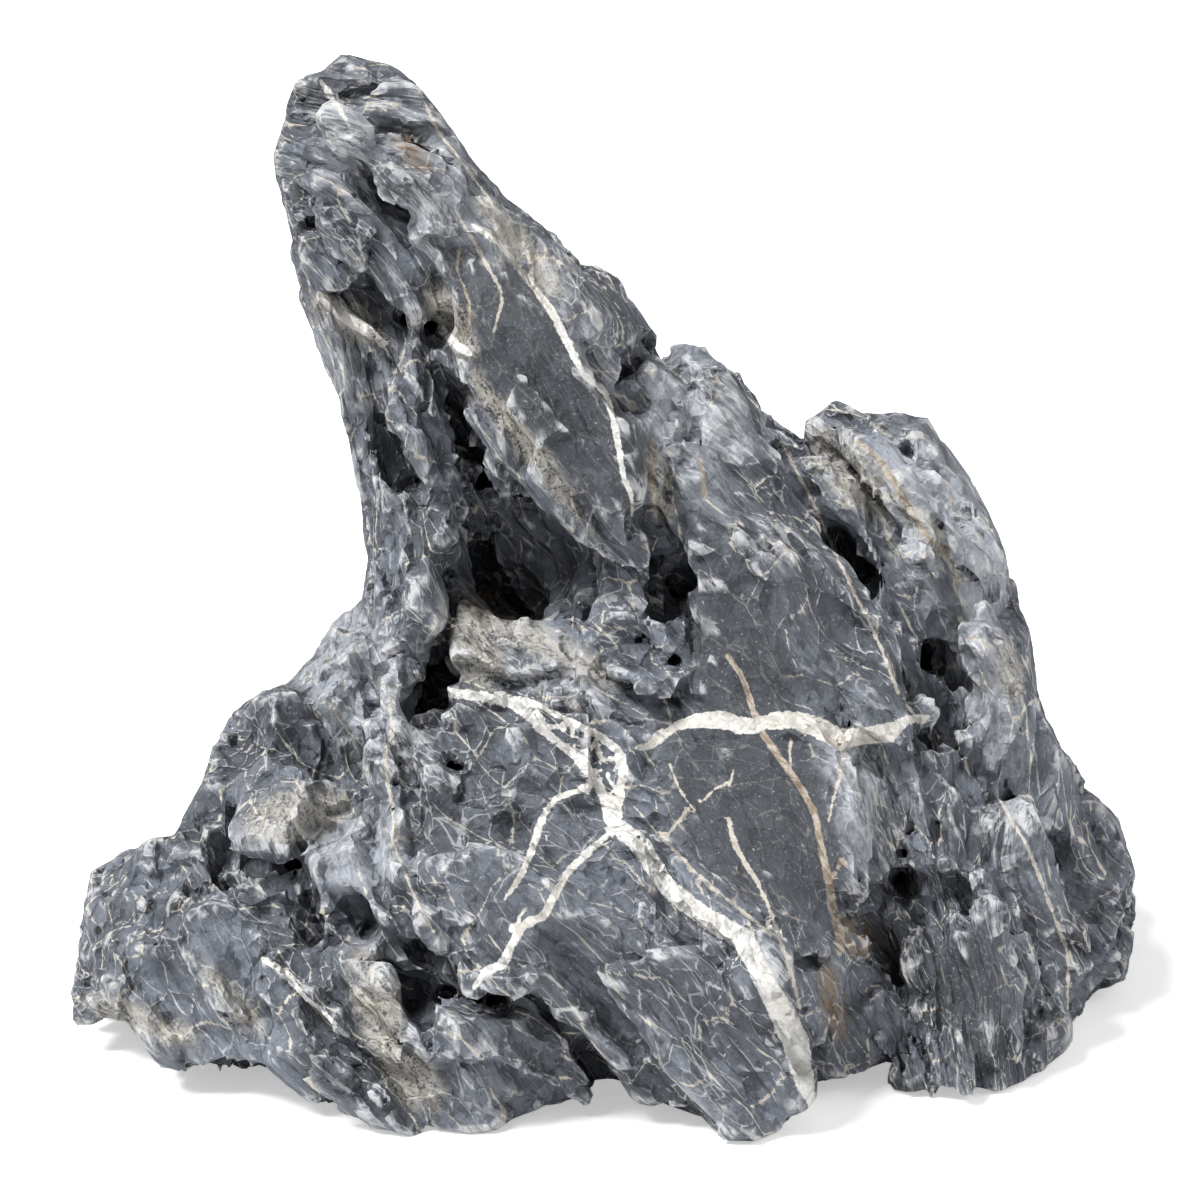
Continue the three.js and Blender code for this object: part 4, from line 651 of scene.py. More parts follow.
# %% [markdown]
# ### The outline
# An outline is what the eye checks first, and weathering moves it. So it is drawn as well, and
# the stone is trimmed to it twice: roughly before it is weathered and raggedly after.

# %% The outline
# From the left foot over the top to the right foot: right and up.
OUTLINE = [
    (-131, -180), (-131, -104), (-133, -90), (-129, -80), (-126, -68), (-113, -61), (-106, -60),
    (-100, -49), (-95, -37), (-90, -26), (-76, -21), (-68, -10), (-59, 0), (-57, 10), (-60, 28),
    (-62, 40), (-64, 50), (-74, 75), (-76, 89), (-81, 112), (-75, 129), (-69, 131), (-64, 136),
    (-52, 132), (-45, 127), (-37, 115), (-25, 100), (-14, 93), (-6, 86), (3, 83), (8, 74), (16, 62),
    (22, 65), (34, 59), (41, 46), (51, 38), (53, 44), (59, 49), (65, 46), (74, 47), (81, 44),
    (91, 30), (100, 14), (107, -9), (108, -22), (111, -30), (122, -49), (129, -56), (133, -70),
    (133, -79), (131, -94), (120, -102), (118, -180),
]


def beyond(flat):
    """How far points lie outside the outline, in mm, below 0 inside it."""
    edges_on_left = np.zeros(len(flat), int)
    closed = OUTLINE + OUTLINE[:1]
    for (x0, y0), (x1, y1) in zip(closed[:-1], closed[1:]):
        if y0 == y1:
            continue
        spans = (flat[:, 1] > min(y0, y1)) & (flat[:, 1] <= max(y0, y1))
        at = x0 + (flat[:, 1] - y0) / (y1 - y0) * (x1 - x0)
        edges_on_left += spans & (at < flat[:, 0])
    away = line_distance(flat, [(x, y, 0) for x, y in closed])[1]
    return np.where(edges_on_left % 2 == 1, -away, away)


print("corners of the outline:", len(OUTLINE))

# %% [markdown]
# ## Stone between the feet
# The boulder and the right block share a low toe of stone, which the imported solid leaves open.
# It is a rounded bar. In a field, two shapes are joined by keeping the lesser distance, so the
# bar needs no boolean.

# %% Add the toe
TOE = ((50, -62, 16), (66, -58, 14), 10)  # both ends and the radius


def bar(start, end, radius):
    """How far every cube is from a rounded bar, in mm, below 0 inside it."""
    lines = [field_low[k] + NUDGE + VOXEL * np.arange(field.shape[k]) for k in range(3)]
    places = np.meshgrid(*lines, indexing="ij", sparse=True)
    run = np.subtract(end, start)
    along = sum((place - s) * r for place, s, r in zip(places, start, run)) / (run @ run)
    along = np.clip(along, 0, 1)
    away = sum((place - s - along * r) ** 2 for place, s, r in zip(places, start, run))
    return np.sqrt(away) - radius


before = int((field < 0).sum())
field = np.minimum(field, bar(*TOE)).astype(np.float32)
print("cubes in the toe:", int((field < 0).sum()) - before)

# %% [markdown]
# ## Carve the hollows and ribs
# A cube's new distance is its old one plus the depth of the cut at the nearest point of the
# skin, which lies down the field's slope from it. A rule works the new distances out for every
# cube in reach before any is changed.

# %% A way to recarve the field
CHUNK = 300000  # cubes at a time, to keep memory low


def cubes(low, high):
    """The cubes whose distance is in a range, their places, the skin near them and its normals."""
    found = np.argwhere((field > low) & (field < high))
    slope = np.gradient(field, VOXEL)
    for begin in range(0, len(found), CHUNK):
        index = tuple(found[begin : begin + CHUNK].T)
        spots = (field_low + NUDGE + np.column_stack(index) * VOXEL).astype(np.float32)
        uphill = np.column_stack([part[index] for part in slope])
        steep = np.maximum(np.linalg.norm(uphill, axis=1), 0.35)[:, None]
        skin_points = spots - field[index][:, None] * uphill / steep**2
        yield index, spots, skin_points.astype(np.float32), (uphill / steep).astype(np.float32)


def recarve(low, high, rule):
    """Gives the cubes whose distance is in a range the new distances that a rule works out."""
    changes = []
    for index, spots, skin_points, uphill in cubes(low, high):
        changes.append((index, rule(field[index], spots, skin_points, uphill)))
    for index, carved in changes:
        field[index] = carved
    print(rule.__name__, "fills", round(float((field < 0).sum()) * VOXEL**3 / 1e6, 2), "litres")


# %% Cut the strokes and scoops
LINE_WANDER = 1.6  # how far a drawn line strays
RIB_SHARE = 0.8  # ribs rise by this share of their typed height


def beside(flat, line, margin):
    """Which points on the sheet are within a margin of a line's box."""
    line = np.array(line, np.float32)[:, :2]
    low, high = line.min(0) - margin, line.max(0) + margin
    return np.flatnonzero(((flat > low) & (flat < high)).all(1))


def chiselled(now, spots, skin_points, uphill):
    """The field with the placed gullies, ribs and scoops cut into what the eye sees."""
    flat, behind = on_sheet(skin_points)
    wave = [rough(skin_points, 11, 2, 71), rough(skin_points, 11, 2, 72)]
    flat = flat + LINE_WANDER * np.column_stack(wave)
    cut = np.zeros(len(flat), np.float32)
    rib = np.zeros(len(flat), np.float32)
    for depth, walls, line in STROKES:
        rows = beside(flat, line, 7)
        _, away, half = line_distance(flat[rows], line)
        amount = depth * np.clip((1 - away / half) * walls, 0, 1)
        cut[rows] = np.maximum(cut[rows], amount)
        rib[rows] = np.minimum(rib[rows], amount * RIB_SHARE)
    for depth, right, up, long, short, turn in SCOOPS:
        rows = beside(flat, [(right, up)], long)
        along, across = in_oval(flat[rows], right, up, long, short, turn)
        cut[rows] = np.maximum(cut[rows], depth * np.clip(1 - (along**2 + across**2), 0, 1))
    return now + (cut + rib) * facing_eye(uphill, behind, -0.15)


recarve(-REACH, BAND, chiselled)

# %% [markdown]
# ## Ease the cuts and trim the outline
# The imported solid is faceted, and strokes leave stairs. Averaging each cube with its neighbours
# takes off both. The first trim stops a little inside the outline, because the weather will
# leave crests that stand out from it.

# %% Ease and trim
TRIM_SLOPE = 0.9  # below 1, so that the trimmed side isn't a clean wall
ROUGH_TRIM = 1.4  # the first trim goes about this far inside the outline


def boxed(values, reach):
    """Each cube's average with those up to that many cubes away along each axis."""
    for k in range(3):
        values = np.moveaxis(values, k, 0)
        total = np.cumsum(values, axis=0, dtype=np.float32)
        start = np.arange(len(values)) - reach - 1
        end = np.minimum(np.arange(len(values)) + reach, len(values) - 1)
        below = np.where((start >= 0)[:, None, None], total[np.maximum(start, 0)], 0)
        values = np.moveaxis((total[end] - below) / (2 * reach + 1), 0, k)
    return values


def trimmed(now, spots, skin_points, uphill):
    """The field cut back to just inside the outline."""
    return np.maximum(now, beyond(on_sheet(spots)[0]) * TRIM_SLOPE + ROUGH_TRIM)


field = boxed(field, 1)
recarve(-BAND, BAND, trimmed)

# %% [markdown]
# ## The weathering
# Three things give seiryu stone its skin. Soft layers are eaten back and hard ones stand out as
# ledges. The stone breaks into plates that end in steps. And water leaves cups of two sizes,
# side by side, that meet in sharp crests. All of it is stretched along the layers. Freshly
# cleaved faces lose most of it, and the patches that the stone rests on stay flat.

# %% Ledges, cups and plates


def hardness(across):
    """How much each layer resists, from 0 to 1: thick beds with thin ones inside them."""
    total = 0
    for size, weight, seed in ((7.5, 0.6, 5), (2.9, 0.4, 6)):
        t = across / np.float32(size)
        bed = np.floor(t)
        beds = np.column_stack([bed, bed * 0, bed * 0])
        here = share(shuffled(beds, seed), 0)
        beds[:, 0] += 1
        following = share(shuffled(beds, seed), 0)
        total = total + weight * (here + (following - here) * ramp(t - bed, 0.75, 1.0))
    return total


def cups(grain, size, seed):
    """Shallow cups side by side that meet in sharp crests, about 0 on average."""
    near_seed, name, _ = cells(grain, size, seed)
    return (0.3 - near_seed**2) * (0.5 + name)


def plates(grain, size, seed):
    """Flat plates, each at its own height and tilt, that end in sharp steps."""
    _, name, offset = cells(grain, size, seed)
    tilt = np.column_stack([np.cos(name * 40), np.sin(name * 57), np.cos(name * 91)])
    return (name - 0.5) * 0.7 + (offset * tilt).sum(1) * 1.8


print("hardness of four beds:", *hardness(np.float32([0, 8, 16, 24])).round(2))

# %% Weather the stone
LEDGES = 2.0  # how far the layers stand out
PLATES = [(2.8, 25, 3), (1.2, 13, 103), (0.25, 6, 203)]  # strength, size and seed
CUPS = [(13, 16, 33), (1.6, 7, 133)]
CHIPS = (0.2, 3.4, 53)  # small plates that even cleaved faces have
PROUD = 0.3  # the field is swollen this much first, so that carving doesn't shrink the stone
LEFT_PROUD = -4.5  # no crest stands higher
DEEPEST = 5.0  # and no bite is deeper


def wear(points):
    """How deep the weather has eaten below these skin points, in mm, below 0 where it left a crest."""
    grain = grain_of(points)
    flat, behind = on_sheet(points)
    front = ramp(-behind, -30, 0)
    fresh = patch(flat, FRESH) * front
    bedded = ramp(rough(points, 45, 2, 61), -0.5, 0.4)
    depth = LEDGES * (0.5 - hardness(grain[:, 0])) * bedded
    depth += sum(strength * plates(grain, size, seed) for strength, size, seed in PLATES)
    eaten = sum(strength * cups(grain, size, seed) for strength, size, seed in CUPS)
    depth += eaten * (1.15 - 0.7 * bedded)
    depth *= 1 - np.maximum(0.8 * fresh, 0.4 * patch(flat, CALM) * front)
    strength, size, seed = CHIPS
    depth += strength * plates(grain, size, seed) * (1 - 0.4 * fresh)
    return np.clip(depth, LEFT_PROUD, DEEPEST)


def weathered(now, spots, skin_points, uphill):
    """The field with the weather's work in it, less and less of it down to the floor."""
    off_floor = ramp(skin_points[:, 2], 0.3, 3.0)
    return now + (wear(skin_points) - PROUD) * off_floor


recarve(-BAND, BAND, weathered)

# %% [markdown]
# ## The last trim and the flat foot
# Crests that the weather left beyond the outline are broken off along a ragged line. The
# patches that the stone stands on are cut level with the floor.

# %% Break off the edge and level the foot
RAGGED = 1.1  # how far the broken edge strays
EDGE_ROOM = 0.6  # and how far crests may stand out over the outline


def broken(now, spots, skin_points, uphill):
    """The field cut back to the outline along a ragged line."""
    ragged = np.column_stack([rough(skin_points, 8, 3, 81), rough(skin_points, 8, 3, 82)])
    outside = beyond(on_sheet(spots)[0] + RAGGED * ragged)
    return np.maximum(now, outside * TRIM_SLOPE - EDGE_ROOM)


recarve(-BAND, BAND, broken)
height_of = field_low[2] + NUDGE + VOXEL * np.arange(field.shape[2])
field = np.maximum(field, -height_of[None, None, :].astype(np.float32))
print("stone fills", round(float((field < 0).sum()) * VOXEL**3 / 1e6, 2), "litres")

# %% [markdown]
# ## The skin
# Where the field passes through zero there is stone surface. A surface net puts one point in
# every cube that the surface crosses, at the middle of its crossings, and joins neighbouring
# cubes with four-sided faces.

# %% Wrap the field in a skin


def surface_net(values):
    """Points, in cubes, and four-sided faces where the field passes through zero."""
    shape = values.shape
    places, owners, loops = [], [], []
    for axis in range(3):
        step = np.zeros(3, int)
        step[axis] = 1
        cut = [slice(0, n - 1) if k == axis else slice(None) for k, n in enumerate(shape)]
        shifted = [slice(1, None) if k == axis else slice(None) for k in range(3)]
        edge = np.argwhere((values[tuple(cut)] < 0) != (values[tuple(shifted)] < 0))
        here = values[tuple(edge.T)]
        there = values[tuple((edge + step).T)]
        crossing = edge + step * (here / (here - there))[:, None]
        side, other = np.zeros(3, int), np.zeros(3, int)
        side[(axis + 1) % 3] = 1
        other[(axis + 2) % 3] = 1
        around = [edge, edge - side, edge - side - other, edge - other]
        ring = np.stack([np.ravel_multi_index(tuple(c.T), shape) for c in around], axis=1)
        ring[here > 0] = ring[here > 0][:, ::-1]
        loops.append(ring)
        owners.append(ring.ravel())
        places.append(np.repeat(crossing, 4, axis=0))
    _, owner = np.unique(np.concatenate(owners), return_inverse=True)
    placed = np.concatenate(places)
    count = np.bincount(owner)
    points = np.column_stack([np.bincount(owner, placed[:, k]) / count for k in range(3)])
    return points, owner.reshape(-1, 4)


net_points, net_faces = surface_net(field)
net_points = (field_low + NUDGE + net_points * VOXEL) * MM
skin = bpy.data.meshes.new("weathered_stone")
skin.from_pydata(net_points.tolist(), [], net_faces.tolist())
stone = bpy.data.objects.new("weathered_stone", skin)
bpy.context.collection.objects.link(stone)
bpy.context.view_layer.objects.active = stone
stone.select_set(True)
print("skin:", len(skin.vertices), "points,", len(skin.polygons), "faces")

# %% [markdown]
# ### Loose crumbs
# Carving leaves a few crumbs that hang in the air. Only the largest connected piece of skin is
# kept: every point takes the lowest label that its neighbours have, until none changes.

# %% Drop the crumbs


def read(field_name, width=3, source="vertices"):
    """A field of the stone's mesh as an array."""
    values = np.empty(len(getattr(stone.data, source)) * width, np.float32)
    getattr(stone.data, source).foreach_get(field_name, values)
    return values.reshape(-1, width) if width > 1 else values


def neighbours():
    """The two ends of every edge."""
    pairs = np.empty(len(stone.data.edges) * 2, np.int32)
    stone.data.edges.foreach_get("vertices", pairs)
    return pairs.reshape(-1, 2).T


def drop_crumbs():
    """Keeps only the largest connected piece of the skin."""
    first, second = neighbours()
    label = np.arange(len(stone.data.vertices))
    while True:
        lower = label.copy()
        np.minimum.at(lower, first, label[second])
        np.minimum.at(lower, second, label[first])
        lower = lower[lower]
        if (lower == label).all():
            break
        label = lower
    keep_label = np.bincount(label).argmax()
    loose = label != keep_label
    bpy.ops.object.mode_set(mode="EDIT")
    bpy.ops.mesh.select_mode(type="VERT")
    bpy.ops.mesh.select_all(action="DESELECT")
    bpy.ops.object.mode_set(mode="OBJECT")
    stone.data.vertices.foreach_set("select", loose)
    bpy.ops.object.mode_set(mode="EDIT")
    bpy.ops.mesh.delete(type="VERT")
    bpy.ops.object.mode_set(mode="OBJECT")
    print("crumb points dropped:", int(loose.sum()))


drop_crumbs()

# %% [markdown]
# ### Fewer triangles
# Decimation keeps triangles where the surface bends and takes them from where it is flat. Edges
# sharper than an angle stay hard, so that crests catch the light.

# %% Bring the skin under its limit
MOST_TRIANGLES = 195000
SHARP = math.radians(14)


def apply_modifier(kind, **values):
    """Adds a modifier to the stone with these values and applies it."""
    modifier = stone.modifiers.new(kind.lower(), kind)
    for name, value in values.items():
        setattr(modifier, name, value)
    bpy.ops.object.modifier_apply(modifier=modifier.name)


apply_modifier("TRIANGULATE")
count = len(stone.data.polygons)
if count > MOST_TRIANGLES:
    apply_modifier("DECIMATE", ratio=MOST_TRIANGLES / count)
bpy.ops.object.shade_smooth_by_angle(angle=SHARP)
print("triangles:", count, "->", len(stone.data.polygons))

# %% [markdown]
# ## Crests and hollows
# Crests are painted pale, partly as wear and partly as painted highlight, and hollows are painted
# dark, as painted shade. How much of a small box around a point is stone tells them apart: half
# on a flat face, less on a crest and more in a hollow. A larger box finds larger hollows. The
# sharpest rims come from the skin itself, as points that stand above the average of their neighbours.

# %% Ways to measure how far a point stands out


def stone_around(size):
    """The share of stone in a box of about that half size, in mm, around each point, less a half."""
    reach = max(1, round(size / VOXEL / 2))
    share_of_stone = boxed(boxed((field < 0).astype(np.float32), reach), reach)
    index = np.rint((points - field_low - NUDGE) / VOXEL).astype(int)
    index = np.clip(index, 0, np.array(field.shape) - 1)
    return share_of_stone[tuple(index.T)] - 0.5


def averaged(values, rounds):
    """Each point's values averaged with its neighbours', several times over."""
    a, b = neighbours()
    size = len(values)
    count = np.bincount(a, minlength=size) + np.bincount(b, minlength=size)
    result = values.astype(np.float64)
    for _ in range(rounds):
        columns = [np.bincount(a, v[b], size) + np.bincount(b, v[a], size) for v in result.T]
        result = 0.5 * result + 0.5 * np.column_stack(columns) / count[:, None]
    return result


def keep(name, values, kind="FLOAT"):
    """Stores values on the mesh for the material to read."""
    attribute = stone.data.attributes.new(name, kind, "POINT")
    slot = "value" if kind == "FLOAT" else "vector"
    attribute.data.foreach_set(slot, np.asarray(values, np.float32).ravel())
    print(name, "from", *np.percentile(values, [0, 50, 90, 98, 100]).round(2))


# %% Measure the stone
points = read("co") / MM
normals = read("vector", 3, "vertex_normals")
keep("rim", ((points - averaged(points, 2)) * normals).sum(1))
keep("crest", -stone_around(4))
keep("hollow", stone_around(13))

# %% [markdown]
# ## Places for the markings
# What is marked on the sheet runs on through the stone, so its sides and back have stains and
# veins of their own, and behind the front the lines wander off. The layers, their folds and the
# plates are kept as well, because the carving and the colour have to agree.

# %% Keep the places and the layers
STRAY = 9  # how far the markings wander at the back

flat, behind = on_sheet(points)
wander = np.column_stack([swell(points, 70, 401), swell(points, 70, 402)])
flat = flat + STRAY * wander * ramp(behind, 20, 70)[:, None]
grain = grain_of(points)
keep("grain", grain, "FLOAT_VECTOR")
bend = np.column_stack([rough(grain, 14, 3, 301 + 9 * k) for k in range(3)])
keep("bent", grain + 2 * bend, "FLOAT_VECTOR")
names = [cells(grain, size, seed)[1] for _, size, seed in PLATES[:2]]
keep("plate", sum(names) / 2 - 0.5)
thin = grain * np.float32([1, 1, 0.5])
levels = [rough(thin, 16, 3, 331), rough(thin, 9, 3, 341), rough(grain, 24, 3, 351)]
keep("levels", np.column_stack(levels), "FLOAT_VECTOR")
cleaved = np.maximum(patch(flat, FRESH), 0.3 * patch(flat, CALM))
keep("fresh", cleaved * facing_eye(normals, behind, -0.1))

# %% [markdown]
# ## Stains
# Beige crust, brown rust and pale dust sit in places of their own. Each is a few ovals on the
# sheet, which the material breaks up.

# %% Lay out the stains
# Right, up, half length, half width, turn in degrees.
BEIGE = [
    (-15, -10, 22, 4, -31), (-31, -11, 12, 6, -75), (-76, -54, 14, 7, 15), (-56, -101, 15, 6, -75),
    (-47, -120, 10, 6, -45), (-115, -105, 16, 4, -20), (62, 32, 14, 6, -50), (79, 21, 16, 3, -52),
    (102, -17, 9, 3, -75), (-20, 88, 17, 4, -50), (-63, 70, 11, 4, -30), (-37, 70, 11, 4, -60),
    (-18, 38, 27, 3, -52), (15, 28, 10, 3, -80), (-92, -100, 12, 3, -50),
]
BROWN = [(58, -100, 11, 3, -80), (-47, 112, 7, 3, -45), (64, -84, 6, 4, -60), (-30, 0, 5, 4, 0)]
DUST = [
    (42, 15, 11, 5, -20), (-12, -20, 15, 5, -25), (68, -50, 17, 7, -70), (29, 45, 11, 5, -60),
    (-48, -38, 7, 6, 0), (-44, 100, 12, 4, -50), (100, -60, 10, 4, -60), (-66, 118, 9, 4, -45),
]
stains = np.column_stack([patch(flat, spots) for spots in (BEIGE, BROWN, DUST)])
keep("stains", stains, "FLOAT_VECTOR")

# %% [markdown]
# ### Painted light
# The stone is painted a lighter grey where it should look lit: high on the spire, the ridge and
# the peak and on the slopes below them. This is painted light, and the places are ovals too.

# %% Painted light
LIT_PATCHES = [
    (-52, 112, 26, 15, -50), (-18, 74, 32, 12, -50), (84, 18, 28, 15, -60), (24, 42, 22, 13, -60),
    (-62, -18, 20, 14, -50), (-62, 60, 14, 8, -60), (-20, -12, 24, 8, -25), (-60, -62, 16, 10, 0),
    (96, -20, 22, 8, -75), (62, -52, 18, 9, -75),
]
keep("painted_light", patch(flat, LIT_PATCHES))

# %% [markdown]
# ## The calcite veins
# Each vein is a line on the sheet, with its half width at every point. The mesh carries the
# offset to the nearest vein, which stays exact between points, so the material can draw an edge
# that is finer than the triangles are. The great vein runs from the saddle down to the front
# foot, with strands that join it, and a level one leaves it to the right.

# %% Main veins
VEINS = [
    # the great vein and the strands that join it
    [(-39, -23, 1.2), (-30, -24, 1.3), (-21, -26, 1.2), (-15, -32, 1.0), (-10, -36, 1.0),
     (-6, -39, 1.2), (-2, -44, 1.2), (1, -49, 1.3), (3, -55, 1.9), (6, -58, 2.3), (10, -61, 2.5),
     (13, -66, 2.4), (17, -72, 2.4), (23, -77, 2.4), (29, -81, 2.6), (36, -85, 2.8),
     (39, -91, 2.5), (42, -97, 2.6), (46, -104, 3.2), (49, -111, 3.4), (51, -120, 2.5),
     (53, -126, 1.2)],
    [(-25, -23, 0.5), (-18, -25, 0.6), (-10, -29, 0.7), (-4, -32, 0.8), (0, -34, 0.9), (5, -38, 1.0),
     (6, -42, 1.1), (5, -48, 1.2), (4, -53, 1.4)],
    [(0, -34, 0.5), (-3, -38, 0.6), (-5, -41, 0.8)],
    [(0, -43, 0.6), (-4, -47, 0.8), (-12, -50, 0.7), (-15, -56, 0.9), (-18, -65, 0.9),
     (-21, -71, 0.7), (-24, -75, 0.4)],
    [(3, -58, 0.7), (-2, -62, 0.9), (-8, -68, 0.9), (-12, -75, 1.0), (-14, -79, 1.0),
     (-19, -81, 1.1), (-22, -86, 1.1), (-24, -91, 1.2), (-29, -93, 1.1), (-32, -98, 0.5)],
    # the level vein
    [(9, -37, 0.6), (12, -37, 0.8), (15, -34, 1.7), (17, -33, 0.8), (20, -31, 1.2), (25, -30, 2.0),
     (31, -30, 2.2), (37, -32, 1.9), (43, -30, 1.9), (49, -30, 2.2), (55, -32, 2.4),
     (60, -35, 2.6), (66, -34, 2.0), (73, -33, 2.4), (76, -30, 1.0), (80, -30, 1.3), (82, -29, 0.5)],
    # white veins of the spire and the left side
    [(0, 55, 0.5), (2, 50, 0.8), (3, 46, 0.5), (4, 42, 0.9), (5, 36, 0.8), (6, 30, 0.6),
     (8, 26, 0.5), (8, 21, 0.3)],
    [(-70, 130, 0.5), (-66, 124, 0.7), (-63, 119, 0.5)],
    [(-32, 94, 0.5), (-25, 89, 0.7), (-18, 80, 0.8), (-12, 72, 1.0), (-8, 64, 1.0), (-4, 56, 0.8),
     (2, 52, 0.6)],
    [(-70, 76, 1.0), (-64, 71, 1.6), (-59, 68, 1.6), (-54, 64, 1.0)],
    [(-40, 68, 0.8), (-36, 64, 1.1), (-32, 61, 0.8)],
    [(-84, -90, 0.8), (-79, -93, 0.9), (-74, -99, 0.6), (-66, -106, 0.5)],
]
print("main veins:", len(VEINS))

# %% [markdown]
# ### Rusty seams and hairlines
# Iron stains some seams brown. Hairlines are the thinnest cracks that can be drawn one by one.

# %% Seams and hairlines
RUSTY = [
    [(32, -14, 0.6), (36, -20, 0.7), (38, -27, 0.8), (41, -34, 0.8), (46, -41, 0.9), (51, -48, 0.8),
     (54, -54, 0.8), (55, -61, 0.9), (57, -69, 1.0), (58, -76, 1.1), (60, -83, 1.3), (60, -88, 1.0)],
    [(25, 36, 0.5), (26, 30, 0.6), (26, 25, 0.6)],
    [(-35, 88, 0.3), (-36, 83, 0.3), (-33, 76, 0.3), (-32, 70, 0.4), (-35, 65, 0.4)],
    [(58, -61, 0.4), (62, -67, 0.4)],
    [(13, 42, 0.4), (13, 32, 0.5), (14, 21, 0.5)],
    [(64, 40, 0.6), (70, 35, 0.8), (75, 27, 0.9), (80, 18, 0.8), (86, 12, 0.7), (90, 4, 0.5)],
]
HAIRLINES = [
    [(17, -40, 0.2), (20, -48, 0.3), (24, -53, 0.3)],
    [(34, -40, 0.3), (32, -48, 0.3), (32, -55, 0.5), (34, -62, 0.7), (39, -70, 0.5), (42, -76, 0.4),
     (45, -85, 0.5), (48, -94, 0.5), (50, -102, 0.4)],
    [(8, -51, 0.2), (15, -59, 0.3), (22, -66, 0.4), (26, -74, 0.3)],
    [(24, -68, 0.2), (32, -75, 0.4), (41, -82, 0.4)],
    [(22, -52, 0.3), (16, -60, 0.3)],
    [(22, -53, 0.3), (26, -50, 0.3), (30, -46, 0.3)],
    [(40, -62, 0.3), (42, -60, 0.3), (45, -60, 0.2)],
    [(48, -34, 0.3), (47, -40, 0.3), (49, -46, 0.2)],
    [(61, -37, 0.5), (60, -44, 0.4), (58, -51, 0.3), (57, -56, 0.2)],
    [(-1, -35, 0.4), (0, -40, 0.4), (6, -40, 0.4)],
    [(-53, -22, 0.3), (-52, -33, 0.4), (-54, -40, 0.4), (-52, -52, 0.4), (-51, -62, 0.4),
     (-47, -73, 0.3), (-41, -84, 0.3)],
    [(-36, 97, 0.3), (-30, 87, 0.5), (-24, 76, 0.3), (-27, 66, 0.4)],
    [(-45, 127, 0.3), (-41, 118, 0.4), (-35, 110, 0.3), (-26, 98, 0.3)],
    [(45, 40, 0.3), (53, 25, 0.4), (60, 9, 0.4), (69, -9, 0.4), (75, -24, 0.4)],
    [(100, -50, 0.3), (107, -62, 0.5), (112, -75, 0.5), (117, -88, 0.4), (117, -102, 0.3)],
]


def chalk(name, lines):
    """Keeps how far each point is from the nearest of these lines, as a vector and its half width."""
    nearest = np.full(len(flat), 1e3, np.float32)
    held = np.zeros((len(flat), 3), np.float32)
    for line in lines:
        offset, away, half = line_distance(flat, line)
        room = away - half
        nearer = room < nearest
        nearest = np.where(nearer, room, nearest)
        held = np.where(nearer[:, None], np.column_stack([offset, half]), held)
    keep(name, held, "FLOAT_VECTOR")
    keep(name + "_room", nearest)


chalk("vein", VEINS)
chalk("rusty", RUSTY)
chalk("hairline", HAIRLINES)

# %% [markdown]
# ## The limestone
# One material does the whole stone. Its base is a dark blue-grey streaked along the grain, on
# which crests are painted pale, partly as wear and partly as painted highlight, hollows are
# painted dark as painted shade, some places are painted lighter as painted light, fine calcite
# threads run in a broken net, and the main veins lie on top. Effects are node groups that put out
# masks or heights, so each can be reused on another stone.

# %% A short way to write nodes


class Recipe:
    """Adds nodes to a tree and links them, so that a group reads like a sum."""

    def __init__(self, tree):
        self.tree = tree

    def add(self, kind, inputs=None, **settings):
        """A node with these settings, its inputs linked or set."""
        node = self.tree.nodes.new(kind)
        for setting, value in settings.items():
            setattr(node, setting, value)
        for socket, value in (inputs or {}).items():
            self.feed(node.inputs[socket], value)
        return node

    def feed(self, socket, value):
        """Links a socket to another one, or sets it."""
        if isinstance(value, bpy.types.NodeSocket):
            self.tree.links.new(value, socket)
        else:
            socket.default_value = value

    def math(self, operation, *values):
        return self.add("ShaderNodeMath", dict(enumerate(values)), operation=operation).outputs[0]

    def vector(self, operation, *values):
        inputs = dict(enumerate(values))
        return self.add("ShaderNodeVectorMath", inputs, operation=operation).outputs[0]

    def times(self, first, *others):
        """The product of these values."""
        for value in others:
            first = self.math("MULTIPLY", first, value)
        return first

    def weighed(self, *pairs):
        """The sum of values, each times its weight."""
        total, *others = [self.times(value, weight) for value, weight in pairs]
        for value in others:
            total = self.math("ADD", total, value)
        return total

    def rest(self, value, weight):
        """What a value, times its weight, leaves of 1."""
        return self.math("SUBTRACT", 1.0, self.times(value, weight))

    def between(self, value, low, high):
        """0 at low and beyond, 1 at high and beyond, and smooth between."""
        inputs = {"Value": value, "From Min": low, "From Max": high}
        node = self.add("ShaderNodeMapRange", inputs, interpolation_type="SMOOTHSTEP")
        return node.outputs["Result"]

    def blend(self, share, first, second):
        inputs = {0: share, 6: first, 7: second}
        return self.add("ShaderNodeMix", inputs, data_type="RGBA").outputs[2]

    def laid(self, colour, tint, *shares):
        """A colour with a tint laid over it, as strongly as the product of these shares."""
        return self.blend(self.times(*shares), colour, tint)

    def stored(self, name, output="Fac"):
        """What the mesh stores under a name."""
        return self.add("ShaderNodeAttribute", attribute_name=name).outputs[output]

    def parts(self, vector):
        """The three parts of a vector."""
        return self.add("ShaderNodeSeparateXYZ", {"Vector": vector}).outputs

    def noise(self, place, scale, detail=4.0, roughness=0.6, distortion=0.0):
        inputs = {"Vector": place, "Scale": scale, "Detail": detail, "Roughness": roughness}
        inputs["Distortion"] = distortion
        return self.add("ShaderNodeTexNoise", inputs).outputs["Fac"]


# %% [markdown]
# ### Groups with named sockets
# A group is built once and placed wherever its effect is needed. Its inputs are the values that
# change from one place to the next.

# %% Start a group
FLOAT, VECTOR = "NodeSocketFloat", "NodeSocketVector"


